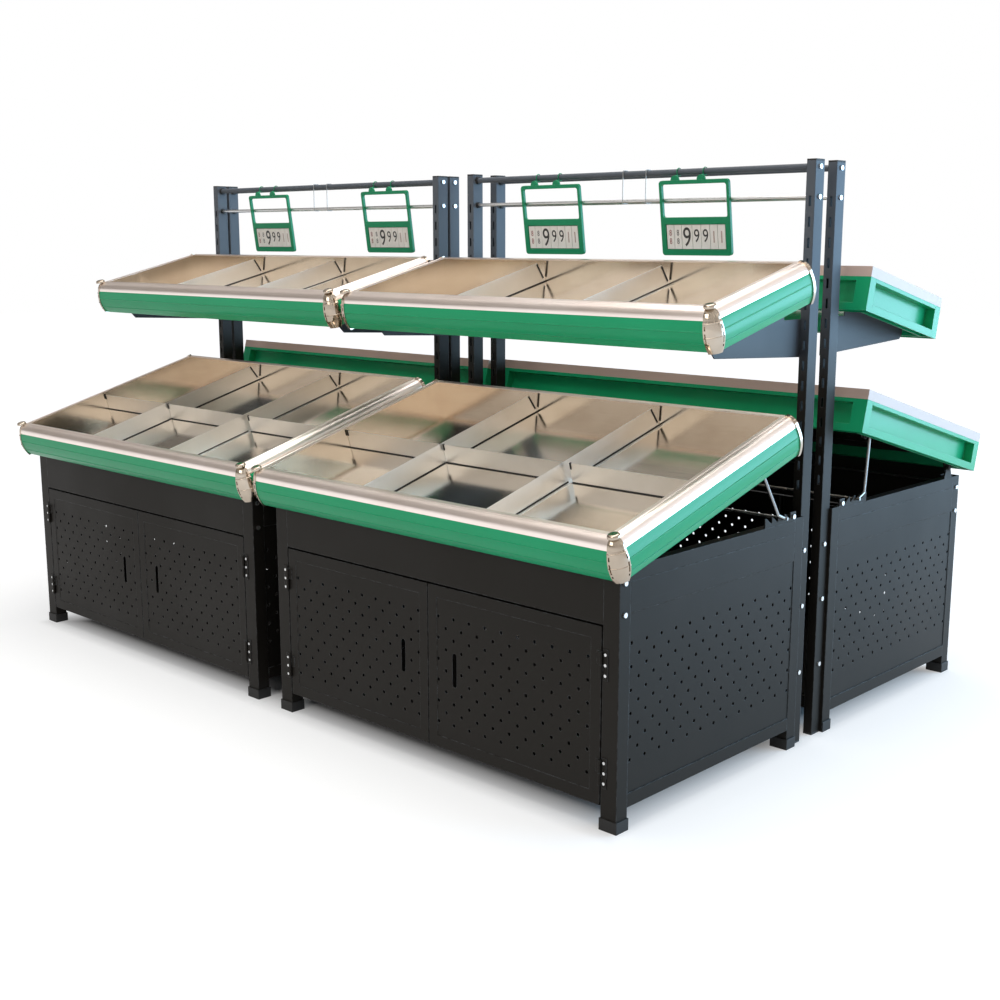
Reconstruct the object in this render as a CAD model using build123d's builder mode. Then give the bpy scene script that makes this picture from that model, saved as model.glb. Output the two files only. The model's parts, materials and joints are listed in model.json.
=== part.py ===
from build123d import *
import os
from math import hypot, radians, sin, sqrt

os.makedirs("parts", exist_ok=True)

# Layout: four racks stand as an island, two bays long and two racks deep, backs together
rack_length = 1200.0
rack_depth = 740.0
bay_gap = 10.0
left_back_gap = 90.0
right_back_gap = 140.0

# Cabinet frame
leg_width = 45.0
leg_depth = 38.0
leg_wall = 2.0
cabinet_top = 607.0
front_leg_drop = 22.0
rear_leg_rise = 5.0
foot_wall = 2.5
foot_height = 28.0
foot_floor = 4.0
foot_play = 0.2
rail_thickness = 25.0
bottom_rail_low = 53.0
bottom_rail_height = 33.0
top_rail_height = 34.0
rail_wall = 2.0
sheet = 1.5

# Perforated sheet
hole_radius = 4.3
hole_pitch = 54.0
hole_margin = 3.0
panel_column_step = 27.0
panel_band_height = 71.0
panel_lap = 20.0
panel_row_rise = 77.0
panel_row_margin = 30.0

# Doors and fascia
door_rise = 3.0
door_depth = 18.0
door_skin = 2.3
door_emboss = 0.8
door_border = 30.0
door_edge_gap = 4.0
door_centre_gap = 3.0
door_column_step = 26.5
door_column_inset = 36.0
door_row_rise = 68.0
handle_offset = 92.0
handle_rise = 3.0
handle_length = 86.0
handle_width = 14.0
fascia_height = 110.0
fascia_gap = 5.0
fascia_depth = 25.0
fascia_skin = 2.0
back_fascia_lap = 4.0

# Lift-off door hinges
hinge_radius = 4.0
hinge_pin = 2.5
hinge_fit = 0.05
hinge_half = 30.0
hinge_leaf = 1.5
hinge_leaf_width = 14.0
hinge_leaf_half = 36.0
hinge_low_rise = 79.0
hinge_top_drop = 85.0
hinge_gap = 0.5
hinge_screw_step = 24.0

# Uprights with the beam and the rail between them
upright_width = 25.0
upright_depth = 40.0
upright_wall = 2.0
upright_inset = 8.0
upright_top = 1490.0
plug_thickness = 4.0
plug_play = 0.1
plug_length = 16.0
slot_width = 6.0
slot_height = 24.0
slot_pitch = 50.0
slot_count = 15
slot_first = 690.0
beam_radius = 8.0
beam_wall = 1.5
beam_drop = 18.0
hanging_rail_radius = 5.0
hanging_rail_drop = 72.0
bushing_width = 6.0
bushing_rim = 3.5
wire_radius = 1.2
wire_play = 1.0
wire_hook = 8.0
front_left_wires = (-24.0, 45.0)
front_right_wires = (-6.0, 72.0)

# Lower trays: reach of the front edge past the cabinet, inset of the rear edge, rise of both over it
front_lower_reach = 38.5
front_lower_inset = 116.6
front_lower_rise = 82.4
front_lower_rear_rise = 272.5
back_lower_reach = 17.3
back_lower_inset = 73.6
back_lower_rise = 128.6
back_lower_rear_rise = 313.4

# Upper trays: front and rear edge, measured from the rear face of the cabinet and the floor
front_upper_front = (-454.8, 1153.4)
front_upper_rear = (-83.9, 1246.1)
back_upper_front = (-451.5, 1140.6)
back_upper_rear = (-57.1, 1232.5)

# Tray pans and dividers
front_pan_overhang = 9.5
back_tray_overhang = 50.0
back_frame_thickness = 30.0
front_pan_floor = 65.0
back_pan_floor = 80.0
pan_top = 3.0
divider_offset = 216.0
divider_top = 8.0
divider_foot = 12.0
divider_gap = 1.0
divider_slope = 22.0
cross_divider_share = 0.45
cross_divider_drop = 4.0
back_divider_drop = 20.0

# Rounded bumper of the front trays
trim_height = 26.0
trim_skin = 3.0
trim_lip = 10.0
trim_reach = 27.0
trim_shoulder = 4.0
trim_cove_radius = 6.0
trim_cove_depth = 1.8
part_gap = 0.3
bumper_bulge = 33.0
bumper_foot = 21.0
bumper_bottom = 100.0
bumper_wall = 3.0
ridge_radius = 1.5
ridge_drops = (51.0, 80.0)
cap_swell = 2.0
cap_rise = 4.0
cap_bottom = 104.0
cap_ring_radius = 1.3
cap_ring_drops = (32.0, 64.0, 92.0)
cap_slot_depth = 4.0
cap_slot_width = 3.5
cap_slot_inset = 5.0
cap_slot_spans = ((37.0, 47.0), (54.0, 78.0), (83.0, 88.0))
knob_radius = 15.0
knob_offset = 9.0
knob_rise = 9.0
knob_round = 6.0
end_plate = 10.0
end_plate_lap = 7.0
end_plate_swell = 3.0
rear_trim_drop = 16.0
rear_trim_skin = 2.0

# Flat frame of the back trays
back_frame_bottom = 113.0
back_trim_height = 26.0
back_wall = 2.5
recess_depth = 26.0
recess_top_bar = 10.0
recess_bottom_bar = 20.0
recess_end = 40.0

# Tray underframe, front hinge and rear prop
runner_inset = 12.0
runner_thickness = 5.0
runner_height = 20.0
runner_front = 60.0
runner_rear = 20.0
cross_bar_width = 20.0
cross_bar_height = 15.0
cross_bar_inset = 120.0
front_hinge_inset = 70.0
front_hinge_rise = 18.0
back_hinge_inset = 74.0
back_hinge_rise = 33.0
tray_pin_radius = 5.0
tray_pin_fit = 0.05
tray_pin_head = 8.0
tray_pin_head_length = 3.0
tray_pin_play = 1.0
hinge_plate_thickness = 4.0
hinge_plate_eye = 12.0
hinge_plate_foot = 24.0
lug_radius = 10.0
prop_rod = 4.0
prop_fit = 0.05
prop_arm_gap = 4.5
prop_rod_reach = 12.0
prop_head = 7.0
prop_head_length = 3.0
prop_head_play = 2.0
front_prop_inset = 213.0
front_prop_rise = 153.0
back_prop_inset = 172.0
back_prop_rise = 178.0
prop_foot_rise = 14.0
front_prop_foot = -95.0
back_prop_foot = -123.0
prop_elbow = (-33.0, 13.0)
notch_pitch = 28.0
notch_rear = -67.0
notch_count = 4
notch_play = 0.3
notch_slope_run = 22.0
rack_plate_thickness = 4.0
rack_plate_front = -178.0
rack_plate_height = 24.0

# Shelf brackets under the upper trays
bracket_thickness = 3.0
bracket_rear = 38.0
bracket_rear_low = 1009.0
bracket_post_top = 1105.0
bracket_shoulder = -75.0
front_bracket_front = -380.0
bracket_frame_gap = 2.0
bracket_front_low = 1029.0
bracket_chamfer = 15.0
bracket_flange = 24.0

# Price signs, leaning back against the hanging rail
sign_width = 220.0
sign_drop = 19.0
sign_tilt = 8.0
sign_thickness = 9.0
sign_top_bar = 10.0
sign_side_bar = 8.0
sign_window_height = 86.0
sign_window_radius = 6.0
sign_corner_radius = 9.0
sign_middle_bar = 17.0
sign_bottom_bar = 15.0
sign_card_height = 67.0
sign_card_width = 190.0
sign_card_depth = 3.0
sign_shell = 2.0
sign_rail_gap = 0.3
sign_loop_radius = 10.0
sign_loop_wire = 1.3
sign_loops = (-59.0, 24.0)
sign_lug_radius = 13.0
sign_lug_thickness = 5.0
sign_lug_root = 2.0
sign_link_drop = 7.0
front_left_signs = (-268.0, 339.0)
front_right_signs = (-264.0, 232.0)

# Bolt heads
bolt_radius = 6.0
bolt_height = 4.0
screw_radius = 3.5
screw_height = 1.5
leg_bolt_inset = 17.0
upright_bolt_heights = (195.0, 373.0, 520.0)
rack_bolt_inset = 12.0

# Derived sizes
half_length = rack_length / 2
leg_inside = half_length - leg_width
front_face = -rack_depth
front_leg_top = cabinet_top - front_leg_drop
rear_leg_top = cabinet_top + rear_leg_rise
top_rail_low = cabinet_top - top_rail_height
bottom_rail_top = bottom_rail_low + bottom_rail_height
panel_band_low = top_rail_low - panel_band_height
fascia_low = front_leg_top - fascia_height
door_low = bottom_rail_low + door_rise
door_top = fascia_low - fascia_gap
hinge_heights = (door_low + hinge_low_rise, door_top - hinge_top_drop)
beam_height = upright_top - beam_drop
hanging_rail_height = beam_height - hanging_rail_drop
front_pan_length = rack_length + 2 * front_pan_overhang
back_tray_length = rack_length + 2 * back_tray_overhang
bay_pitch = back_tray_length + bay_gap
front_lower_front = (front_face - front_lower_reach, cabinet_top + front_lower_rise)
front_lower_rear = (-front_lower_inset, cabinet_top + front_lower_rear_rise)
back_lower_front = (front_face - back_lower_reach, cabinet_top + back_lower_rise)
back_lower_rear = (-back_lower_inset, cabinet_top + back_lower_rear_rise)
front_hinge = (front_face + front_hinge_inset, cabinet_top + front_hinge_rise)
back_hinge = (front_face + back_hinge_inset, cabinet_top + back_hinge_rise)
front_prop_pivot = (-front_prop_inset, cabinet_top + front_prop_rise)
back_prop_pivot = (-back_prop_inset, cabinet_top + back_prop_rise)
runner_inside = half_length - runner_inset
prop_arm_offset = half_length + prop_arm_gap
prop_rod_half = half_length + prop_rod_reach
prop_foot_height = cabinet_top + prop_foot_rise
rack_plate_top = cabinet_top + rack_plate_height
rail_inside = half_length - rail_thickness
upright_outside = half_length - upright_inset
upright_inside = upright_outside - upright_width
upright_middle = upright_depth / 2
hinge_x = leg_inside - door_edge_gap / 2
hinge_y = front_face - hinge_radius
door_outside = leg_inside - door_edge_gap
door_inside = door_centre_gap / 2


def front_plane(y):
    return Plane(origin=(0, y, 0), x_dir=(1, 0, 0), z_dir=(0, -1, 0))


def side_plane(x):
    return Plane(origin=(x, 0, 0), x_dir=(0, 1, 0), z_dir=(1, 0, 0))


def tray_plane(front, rear):
    run = rear[0] - front[0]
    rise = rear[1] - front[1]
    return Plane(origin=(0, front[0], front[1]), x_dir=(1, 0, 0), z_dir=(0, -rise, run))


def slope_length(front, rear):
    return hypot(rear[0] - front[0], rear[1] - front[1])


def in_tray(plane, point):
    local = plane.to_local_coords(Vector(0, point[0], point[1]))
    return (local.Y, local.Z)


front_lower = tray_plane(front_lower_front, front_lower_rear)
back_lower = tray_plane(back_lower_front, back_lower_rear)
front_upper = tray_plane(front_upper_front, front_upper_rear)
back_upper = tray_plane(back_upper_front, back_upper_rear)
front_lower_depth = slope_length(front_lower_front, front_lower_rear)
back_lower_depth = slope_length(back_lower_front, back_lower_rear)
front_upper_depth = slope_length(front_upper_front, front_upper_rear)
back_upper_depth = slope_length(back_upper_front, back_upper_rear)
back_pan_length = back_tray_length - 2 * back_frame_thickness
back_frame_corner = back_upper.from_local_coords(Vector(0, back_frame_thickness, -back_frame_bottom))
back_bracket_front = back_frame_corner.Y + bracket_frame_gap
back_frame_low = back_lower.from_local_coords(Vector(0, 0, -back_frame_bottom)).Z
back_fascia_rise = back_frame_low + back_fascia_lap - front_leg_top


# Bumper section, drawn outward from the tray wall and downward from its top edge
def section_outline(swell, top, bottom):
    with BuildLine() as outline:
        Line((0, top), (trim_shoulder, top))
        ThreePointArc(
            (trim_shoulder, top),
            (trim_reach * 0.76 + swell, -trim_height * 0.36),
            (trim_reach + swell, -trim_height),
        )
        ThreePointArc(
            (trim_reach + swell, -trim_height),
            (bumper_bulge + swell, -bumper_bottom * 0.6),
            (bumper_foot + swell, -bottom),
        )
        Polyline((bumper_foot + swell, -bottom), (0, -bottom), (0, top))
    return outline


def trim_section():
    with BuildLine() as outline:
        Line((-trim_lip, 0), (trim_shoulder, 0))
        ThreePointArc(
            (trim_shoulder, 0),
            (trim_reach * 0.76, -trim_height * 0.36),
            (trim_reach, -trim_height),
        )
        Line((trim_reach, -trim_height), (trim_reach - trim_skin, -trim_height))
        ThreePointArc(
            (trim_reach - trim_skin, -trim_height),
            (trim_reach * 0.76 - trim_skin * 0.8, -trim_height * 0.36 - trim_skin * 0.6),
            (trim_shoulder, -trim_skin),
        )
        Polyline((trim_shoulder, -trim_skin), (-trim_lip, -trim_skin), (-trim_lip, 0))
    return outline


def bumper_face():
    return Edge.make_three_point_arc(
        (trim_reach, -trim_height - part_gap),
        (bumper_bulge, -bumper_bottom * 0.6),
        (bumper_foot, -bumper_bottom),
    )


def bumper_section():
    top = -trim_height - part_gap
    with BuildLine() as outline:
        Line((0, top), (trim_reach, top))
        add(bumper_face())
        Polyline((bumper_foot, -bumper_bottom), (0, -bumper_bottom), (0, top))
    return outline


# Two raised ridges run along the green face
def ridge_places():
    face = bumper_face()
    middle = face.arc_center
    return [
        (middle.X + sqrt(face.radius**2 - (drop + middle.Y) ** 2), -drop) for drop in ridge_drops
    ]


def section_plane_front(length):
    return Plane(origin=(length / 2, 0, 0), x_dir=(0, -1, 0), z_dir=(-1, 0, 0))


def section_plane_side(length, depth):
    return Plane(origin=(length / 2, depth, 0), x_dir=(1, 0, 0), z_dir=(0, -1, 0))


def make_pan(length, depth, floor, inset):
    wall_height = floor + sheet - pan_top
    with BuildPart() as pan:
        with Locations((0, inset + depth / 2, -pan_top - wall_height / 2)):
            Box(length, depth, wall_height)
        with Locations((0, inset + depth / 2, -pan_top - wall_height / 2 + sheet)):
            Box(length - 2 * sheet, depth - 2 * sheet, wall_height, mode=Mode.SUBTRACT)
    return pan


def make_dividers(length, depth, floor, inset, top, rows):
    front_end = inset + sheet + divider_gap
    rear_end = inset + depth - sheet - divider_gap
    cross = inset + depth * cross_divider_share
    wall = length / 2 - sheet
    with BuildPart() as dividers:
        for side in (-1, 1):
            with BuildSketch(side_plane(side * divider_offset - sheet / 2)):
                with BuildLine():
                    Polyline(
                        (front_end, -floor),
                        (rear_end, -floor),
                        (rear_end, -floor + sheet),
                        (rear_end - divider_slope, -top),
                        (front_end, -top),
                        close=True,
                    )
                make_face()
            extrude(amount=sheet)
            with Locations((side * (divider_offset + divider_foot / 2), (front_end + rear_end) / 2,
                            -floor + sheet / 2)):
                Box(divider_foot, rear_end - front_end, sheet)
        if rows == 2:
            spans = (
                (-wall + divider_gap, -divider_offset - divider_foot - divider_gap),
                (-divider_offset + sheet + divider_gap, divider_offset - sheet - divider_gap),
                (divider_offset + divider_foot + divider_gap, wall - divider_gap),
            )
            cross_height = floor - top - cross_divider_drop
            for low, high in spans:
                with Locations(((low + high) / 2, cross, -floor + cross_height / 2)):
                    Box(high - low, sheet, cross_height)
                with Locations(((low + high) / 2, cross + divider_foot / 2, -floor + sheet / 2)):
                    Box(high - low, divider_foot, sheet)
    return dividers


def make_front_trim(length, depth):
    with BuildPart() as trim:
        with BuildSketch(section_plane_side(length, depth - end_plate_lap)):
            add(trim_section().line)
            make_face()
            with Locations((trim_shoulder, trim_cove_radius - trim_cove_depth)):
                Circle(trim_cove_radius, mode=Mode.SUBTRACT)
        extrude(amount=depth - end_plate_lap)
        for end in (0, depth):
            with Locations((length / 2 - trim_lip / 2, end, 0)):
                Box(trim_lip + part_gap, 2 * (trim_lip + part_gap), 4 * trim_skin, mode=Mode.SUBTRACT)
        mirror(about=Plane.YZ)
        with BuildSketch(section_plane_front(length)):
            add(trim_section().line)
            make_face()
            with Locations((trim_shoulder, trim_cove_radius - trim_cove_depth)):
                Circle(trim_cove_radius, mode=Mode.SUBTRACT)
        extrude(amount=length)
        with BuildSketch(side_plane(-length / 2)):
            with BuildLine():
                Polyline(
                    (depth - trim_lip, 0),
                    (depth + rear_trim_skin, 0),
                    (depth + rear_trim_skin, -rear_trim_drop),
                    (depth, -rear_trim_drop),
                    (depth, -trim_skin),
                    (depth - trim_lip, -trim_skin),
                    close=True,
                )
            make_face()
        extrude(amount=length)
    return trim


def make_bumper(length, depth):
    with BuildPart() as bumper:
        with BuildSketch(section_plane_side(length, depth - end_plate_lap)):
            add(bumper_section().line)
            make_face()
            offset(amount=-bumper_wall, kind=Kind.INTERSECTION, mode=Mode.SUBTRACT)
            with Locations(*ridge_places()):
                Circle(ridge_radius)
        extrude(amount=depth - end_plate_lap)
        mirror(about=Plane.YZ)
        with BuildSketch(section_plane_front(length)):
            add(bumper_section().line)
            make_face()
            offset(amount=-bumper_wall, kind=Kind.INTERSECTION, mode=Mode.SUBTRACT)
            with Locations(*ridge_places()):
                Circle(ridge_radius)
        extrude(amount=length)
    return bumper


def cap_face(drop):
    face = bumper_face()
    middle = face.arc_center
    return middle.X + sqrt(face.radius**2 - (drop + middle.Y) ** 2) + cap_swell


# Chromed corner caps with a domed knob, ring ridges and slots beside the edges, and thin rear end plates
def make_corner_caps(length, depth):
    corner = Plane(origin=(length / 2, 0, 0), x_dir=(0, -1, 0), z_dir=(-1, 0, 0))
    with BuildPart() as knob:
        with Locations((length / 2 + knob_offset, -knob_offset, (part_gap + knob_rise) / 2)):
            Cylinder(knob_radius, knob_rise - part_gap)
        fillet(knob.edges().group_by(Axis.Z)[-1], knob_round)
    with BuildPart() as caps:
        with BuildSketch(corner):
            add(section_outline(cap_swell, cap_rise, cap_bottom).line)
            make_face()
            with Locations(*[(cap_face(drop), -drop) for drop in cap_ring_drops]):
                Circle(cap_ring_radius)
        revolve(axis=Axis((length / 2, 0, 0), (0, 0, 1)), revolution_arc=90)
        for top, bottom in cap_slot_spans:
            face = cap_face((top + bottom) / 2)
            height = bottom - top
            with Locations((length / 2 + face, -cap_slot_inset, -(top + bottom) / 2)):
                Box(2 * cap_slot_depth, cap_slot_width, height, mode=Mode.SUBTRACT)
            with Locations((length / 2 + cap_slot_inset, -face, -(top + bottom) / 2)):
                Box(cap_slot_width, 2 * cap_slot_depth, height, mode=Mode.SUBTRACT)
        add(knob.part)
        with BuildSketch(section_plane_side(length, depth - end_plate_lap + end_plate)):
            add(section_outline(end_plate_swell, end_plate_swell, bumper_bottom + end_plate_swell).line)
            make_face()
        extrude(amount=end_plate)
        mirror(about=Plane.YZ)
    return caps


def make_back_trim(depth):
    half = back_tray_length / 2
    with BuildPart() as trim:
        inner = back_frame_thickness - 2 * back_wall
        for y in (back_frame_thickness / 2, depth - back_frame_thickness / 2):
            with Locations((0, y, -back_trim_height / 2)):
                Box(back_tray_length, back_frame_thickness, back_trim_height)
            with Locations((0, y, -back_trim_height / 2 - back_wall)):
                Box(back_tray_length - 2 * back_wall, inner, back_trim_height, mode=Mode.SUBTRACT)
        side_run = depth - 2 * back_frame_thickness - 2 * part_gap
        for x in (-half + back_frame_thickness / 2, half - back_frame_thickness / 2):
            with Locations((x, depth / 2, -back_trim_height / 2)):
                Box(back_frame_thickness, side_run, back_trim_height)
            with Locations((x, depth / 2, -back_trim_height / 2 - back_wall)):
                Box(inner, side_run - 2 * back_wall, back_trim_height, mode=Mode.SUBTRACT)
    return trim


# Deep recess in each outer face, a web behind it, and a bottom bar that is open underneath
def make_back_frame(depth):
    half = back_tray_length / 2
    top = -back_trim_height - part_gap
    height = back_frame_bottom + top
    middle = top - height / 2
    recess_height = height - recess_top_bar - recess_bottom_bar
    recess_middle = top - recess_top_bar - recess_height / 2
    groove_width = back_frame_thickness - 2 * back_wall
    groove_height = 2 * (recess_bottom_bar - back_wall)
    side_run = depth - 2 * back_frame_thickness - 2 * part_gap
    with BuildPart() as frame:
        for face, inward in ((0, 1), (depth, -1)):
            with Locations((0, face + inward * back_frame_thickness / 2, middle)):
                Box(back_tray_length, back_frame_thickness, height)
            with Locations((0, face, recess_middle)):
                Box(back_tray_length - 2 * recess_end, 2 * recess_depth, recess_height, mode=Mode.SUBTRACT)
            with Locations((0, face + inward * back_frame_thickness / 2, -back_frame_bottom)):
                Box(back_tray_length - 2 * back_wall, groove_width, groove_height, mode=Mode.SUBTRACT)
        for side in (-1, 1):
            with Locations((side * (half - back_frame_thickness / 2), depth / 2, middle)):
                Box(back_frame_thickness, side_run, height)
            with Locations((side * half, depth / 2, recess_middle)):
                Box(2 * recess_depth, side_run, recess_height, mode=Mode.SUBTRACT)
            with Locations((side * (half - back_frame_thickness / 2), depth / 2, -back_frame_bottom)):
                Box(groove_width, side_run - 2 * back_wall, groove_height, mode=Mode.SUBTRACT)
    return frame


# Runners under the pan carry the front hinge pins and the rear prop pivots
def make_underframe(plane, depth, floor, inset, hinge, pivot):
    under = -floor - sheet
    low = under - runner_height
    hinge_at = in_tray(plane, hinge)
    pivot_at = in_tray(plane, pivot)
    runner_end = depth - inset - runner_rear
    pin_end = half_length + tray_pin_play + tray_pin_head_length
    with BuildPart() as underframe:
        with BuildSketch(side_plane(runner_inside)):
            with BuildLine():
                Polyline(
                    (runner_front, under),
                    (runner_end, under),
                    (runner_end, low),
                    (runner_front, low),
                    close=True,
                )
            make_face()
            for y, z in (hinge_at, pivot_at):
                with BuildLine():
                    Polyline(
                        (y - lug_radius, z),
                        (y + lug_radius, z),
                        (y + 2 * lug_radius, low),
                        (y - 2 * lug_radius, low),
                        close=True,
                    )
                make_face()
                with Locations((y, z)):
                    Circle(lug_radius)
            with Locations(pivot_at):
                Circle(prop_rod + prop_fit, mode=Mode.SUBTRACT)
        extrude(amount=runner_thickness)
        with BuildSketch(side_plane(runner_inside)):
            with Locations(hinge_at):
                Circle(tray_pin_radius)
        extrude(amount=pin_end - runner_inside)
        with BuildSketch(side_plane(half_length + tray_pin_play)):
            with Locations(hinge_at):
                Circle(tray_pin_head)
        extrude(amount=tray_pin_head_length)
        mirror(about=Plane.YZ)
        for y in (runner_front + cross_bar_inset, runner_end - cross_bar_inset):
            with Locations((0, y, under - cross_bar_height / 2)):
                Box(2 * runner_inside, cross_bar_width, cross_bar_height)
    return underframe


# Bent rod that props the rear of a lower tray: pivot pins, arms and the cross rod
def make_prop(pivot, foot):
    elbow = (foot + prop_elbow[0], prop_foot_height + prop_elbow[1])
    inner = runner_inside - prop_head_play - prop_head_length
    with BuildPart() as prop:
        for start, end in ((pivot, elbow), (elbow, (foot, prop_foot_height))):
            arm = hypot(end[0] - start[0], end[1] - start[1])
            along = Plane(
                origin=(prop_arm_offset, start[0], start[1]),
                x_dir=(1, 0, 0),
                z_dir=(0, end[0] - start[0], end[1] - start[1]),
            )
            with BuildSketch(along):
                Circle(prop_rod)
            extrude(amount=arm)
            with Locations((prop_arm_offset, start[0], start[1])):
                Sphere(prop_rod)
        with BuildSketch(side_plane(inner)):
            with Locations(pivot):
                Circle(prop_rod)
        extrude(amount=prop_arm_offset - inner)
        with BuildSketch(side_plane(inner)):
            with Locations(pivot):
                Circle(prop_head)
        extrude(amount=prop_head_length)
        mirror(about=Plane.YZ)
        with BuildSketch(side_plane(-prop_rod_half)):
            with Locations((foot, prop_foot_height)):
                Circle(prop_rod)
        extrude(amount=2 * prop_rod_half)
    return prop


def under_height(plane, drop, y):
    start = plane.origin - plane.z_dir * drop
    return start.Z + (y - start.Y) / plane.y_dir.Y * plane.y_dir.Z


# Plate brackets, bent over at the top, that carry an upper tray
def make_brackets(plane, floor, front):
    drop = floor + sheet
    front_top = under_height(plane, drop, front)
    rear_top = under_height(plane, drop, bracket_shoulder)
    with BuildPart() as brackets:
        with BuildSketch(side_plane(upright_inside - bracket_thickness)):
            with BuildLine():
                Polyline(
                    (bracket_rear, bracket_rear_low),
                    (bracket_rear, bracket_post_top),
                    (bracket_shoulder, bracket_post_top),
                    (bracket_shoulder, rear_top),
                    (front, front_top),
                    (front, bracket_front_low + bracket_chamfer),
                    (front + bracket_chamfer, bracket_front_low),
                    close=True,
                )
            make_face()
        extrude(amount=bracket_thickness)
        with BuildSketch(side_plane(upright_inside - bracket_thickness - bracket_flange)):
            with BuildLine():
                Polyline(
                    (bracket_shoulder, rear_top - bracket_thickness),
                    (bracket_shoulder, rear_top),
                    (front, front_top),
                    (front, front_top - bracket_thickness),
                    close=True,
                )
            make_face()
        extrude(amount=bracket_flange + bracket_thickness)
        mirror(about=Plane.YZ)
    return brackets


# Standing plates that take the front hinge pins of a lower tray
def make_hinge_plates(hinge):
    y, z = hinge
    with BuildPart() as plates:
        with BuildSketch(side_plane(half_length - hinge_plate_thickness)):
            with BuildLine():
                Polyline(
                    (y - hinge_plate_foot, cabinet_top),
                    (y + hinge_plate_foot, cabinet_top),
                    (y + hinge_plate_eye, z),
                    (y - hinge_plate_eye, z),
                    close=True,
                )
            make_face()
            with Locations((y, z)):
                Circle(hinge_plate_eye)
                Circle(tray_pin_radius + tray_pin_fit, mode=Mode.SUBTRACT)
        extrude(amount=hinge_plate_thickness)
        mirror(about=Plane.YZ)
    return plates


def make_legs(front_top):
    with BuildPart() as legs:
        for y, top in ((front_face + leg_depth / 2, front_top), (-leg_depth / 2, rear_leg_top)):
            with Locations((half_length - leg_width / 2, y, (foot_floor + top) / 2)):
                Box(leg_width, leg_depth, top - foot_floor)
                Box(leg_width - 2 * leg_wall, leg_depth - 2 * leg_wall, top - foot_floor, mode=Mode.SUBTRACT)
        mirror(about=Plane.YZ)
    return legs


# The back racks' front legs reach the top of the cabinet, because no bumper hangs in front of them
front_rack_legs = make_legs(front_leg_top)
back_rack_legs = make_legs(cabinet_top)

with BuildPart() as feet:
    socket_width = leg_width + 2 * foot_play
    socket_depth = leg_depth + 2 * foot_play
    for y in (front_face + leg_depth / 2, -leg_depth / 2):
        with Locations((half_length - leg_width / 2, y, foot_height / 2)):
            Box(socket_width + 2 * foot_wall, socket_depth + 2 * foot_wall, foot_height)
        with Locations((half_length - leg_width / 2, y, foot_height / 2 + foot_floor)):
            Box(socket_width, socket_depth, foot_height, mode=Mode.SUBTRACT)
    # The rear feet are open at the back, where the uprights stand against the legs
    with Locations((half_length - leg_width / 2, upright_middle, foot_height / 2)):
        Box(2 * leg_width, upright_depth, foot_height, mode=Mode.SUBTRACT)
    mirror(about=Plane.YZ)

with BuildPart() as rails:
    side_run = rack_depth - 2 * leg_depth
    side_middle = front_face / 2
    for low, top in ((bottom_rail_low, bottom_rail_top), (top_rail_low, cabinet_top)):
        with Locations((half_length - rail_thickness / 2, side_middle, (low + top) / 2)):
            Box(rail_thickness, side_run, top - low)
            Box(rail_thickness - 2 * rail_wall, side_run, top - low - 2 * rail_wall, mode=Mode.SUBTRACT)
    mirror(about=Plane.YZ)
    front_rail = front_face + door_depth + door_edge_gap + rail_thickness / 2
    for y in (front_rail, -leg_depth / 2):
        with Locations((0, y, (bottom_rail_low + bottom_rail_top) / 2)):
            Box(2 * leg_inside, rail_thickness, bottom_rail_height)
            Box(2 * leg_inside, rail_thickness - 2 * rail_wall, bottom_rail_height - 2 * rail_wall,
                mode=Mode.SUBTRACT)

with BuildPart() as side_panels:
    panel_top = panel_band_low + panel_lap
    with BuildSketch(side_plane(half_length - 2 * sheet)):
        with Locations((side_middle, (bottom_rail_top + panel_top) / 2)):
            Rectangle(side_run, panel_top - bottom_rail_top)
        half_columns = int((side_run / 2 - hole_radius - hole_margin) / panel_column_step)
        first_row = bottom_rail_top + panel_row_rise
        full_rows = int((panel_band_low - panel_row_margin - first_row) / hole_pitch) + 1
        for column in range(-half_columns, half_columns + 1):
            odd = (column + half_columns) % 2
            y = side_middle + column * panel_column_step
            low_row = first_row + odd * hole_pitch / 2
            with Locations(*[(y, low_row + row * hole_pitch) for row in range(full_rows - odd)]):
                Circle(hole_radius, mode=Mode.SUBTRACT)
    extrude(amount=sheet)
    with BuildSketch(side_plane(half_length - sheet)):
        with Locations((side_middle, (panel_band_low + top_rail_low) / 2)):
            Rectangle(side_run, top_rail_low - panel_band_low)
    extrude(amount=sheet)
    mirror(about=Plane.YZ)

with BuildPart() as fascia:
    with Locations((0, front_face + fascia_depth / 2, (fascia_low + front_leg_top) / 2)):
        Box(2 * leg_inside, fascia_depth, fascia_height)
    with Locations((0, front_face + fascia_depth / 2 + fascia_skin, (fascia_low + front_leg_top) / 2)):
        Box(2 * leg_inside, fascia_depth, fascia_height - 2 * fascia_skin, mode=Mode.SUBTRACT)

# The back racks' fascia stands up behind the lower edge of the tray frame
with BuildPart() as back_fascia:
    add(fascia.part)
    with Locations((0, front_face + fascia_skin / 2, front_leg_top + back_fascia_rise / 2)):
        Box(2 * leg_inside, fascia_skin, back_fascia_rise)

with BuildPart() as floor_pan:
    floor_front = front_rail - rail_thickness / 2
    with Locations((0, (floor_front - leg_depth / 2) / 2, bottom_rail_top + sheet / 2)):
        Box(2 * leg_inside, -leg_depth / 2 - floor_front, sheet)

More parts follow.
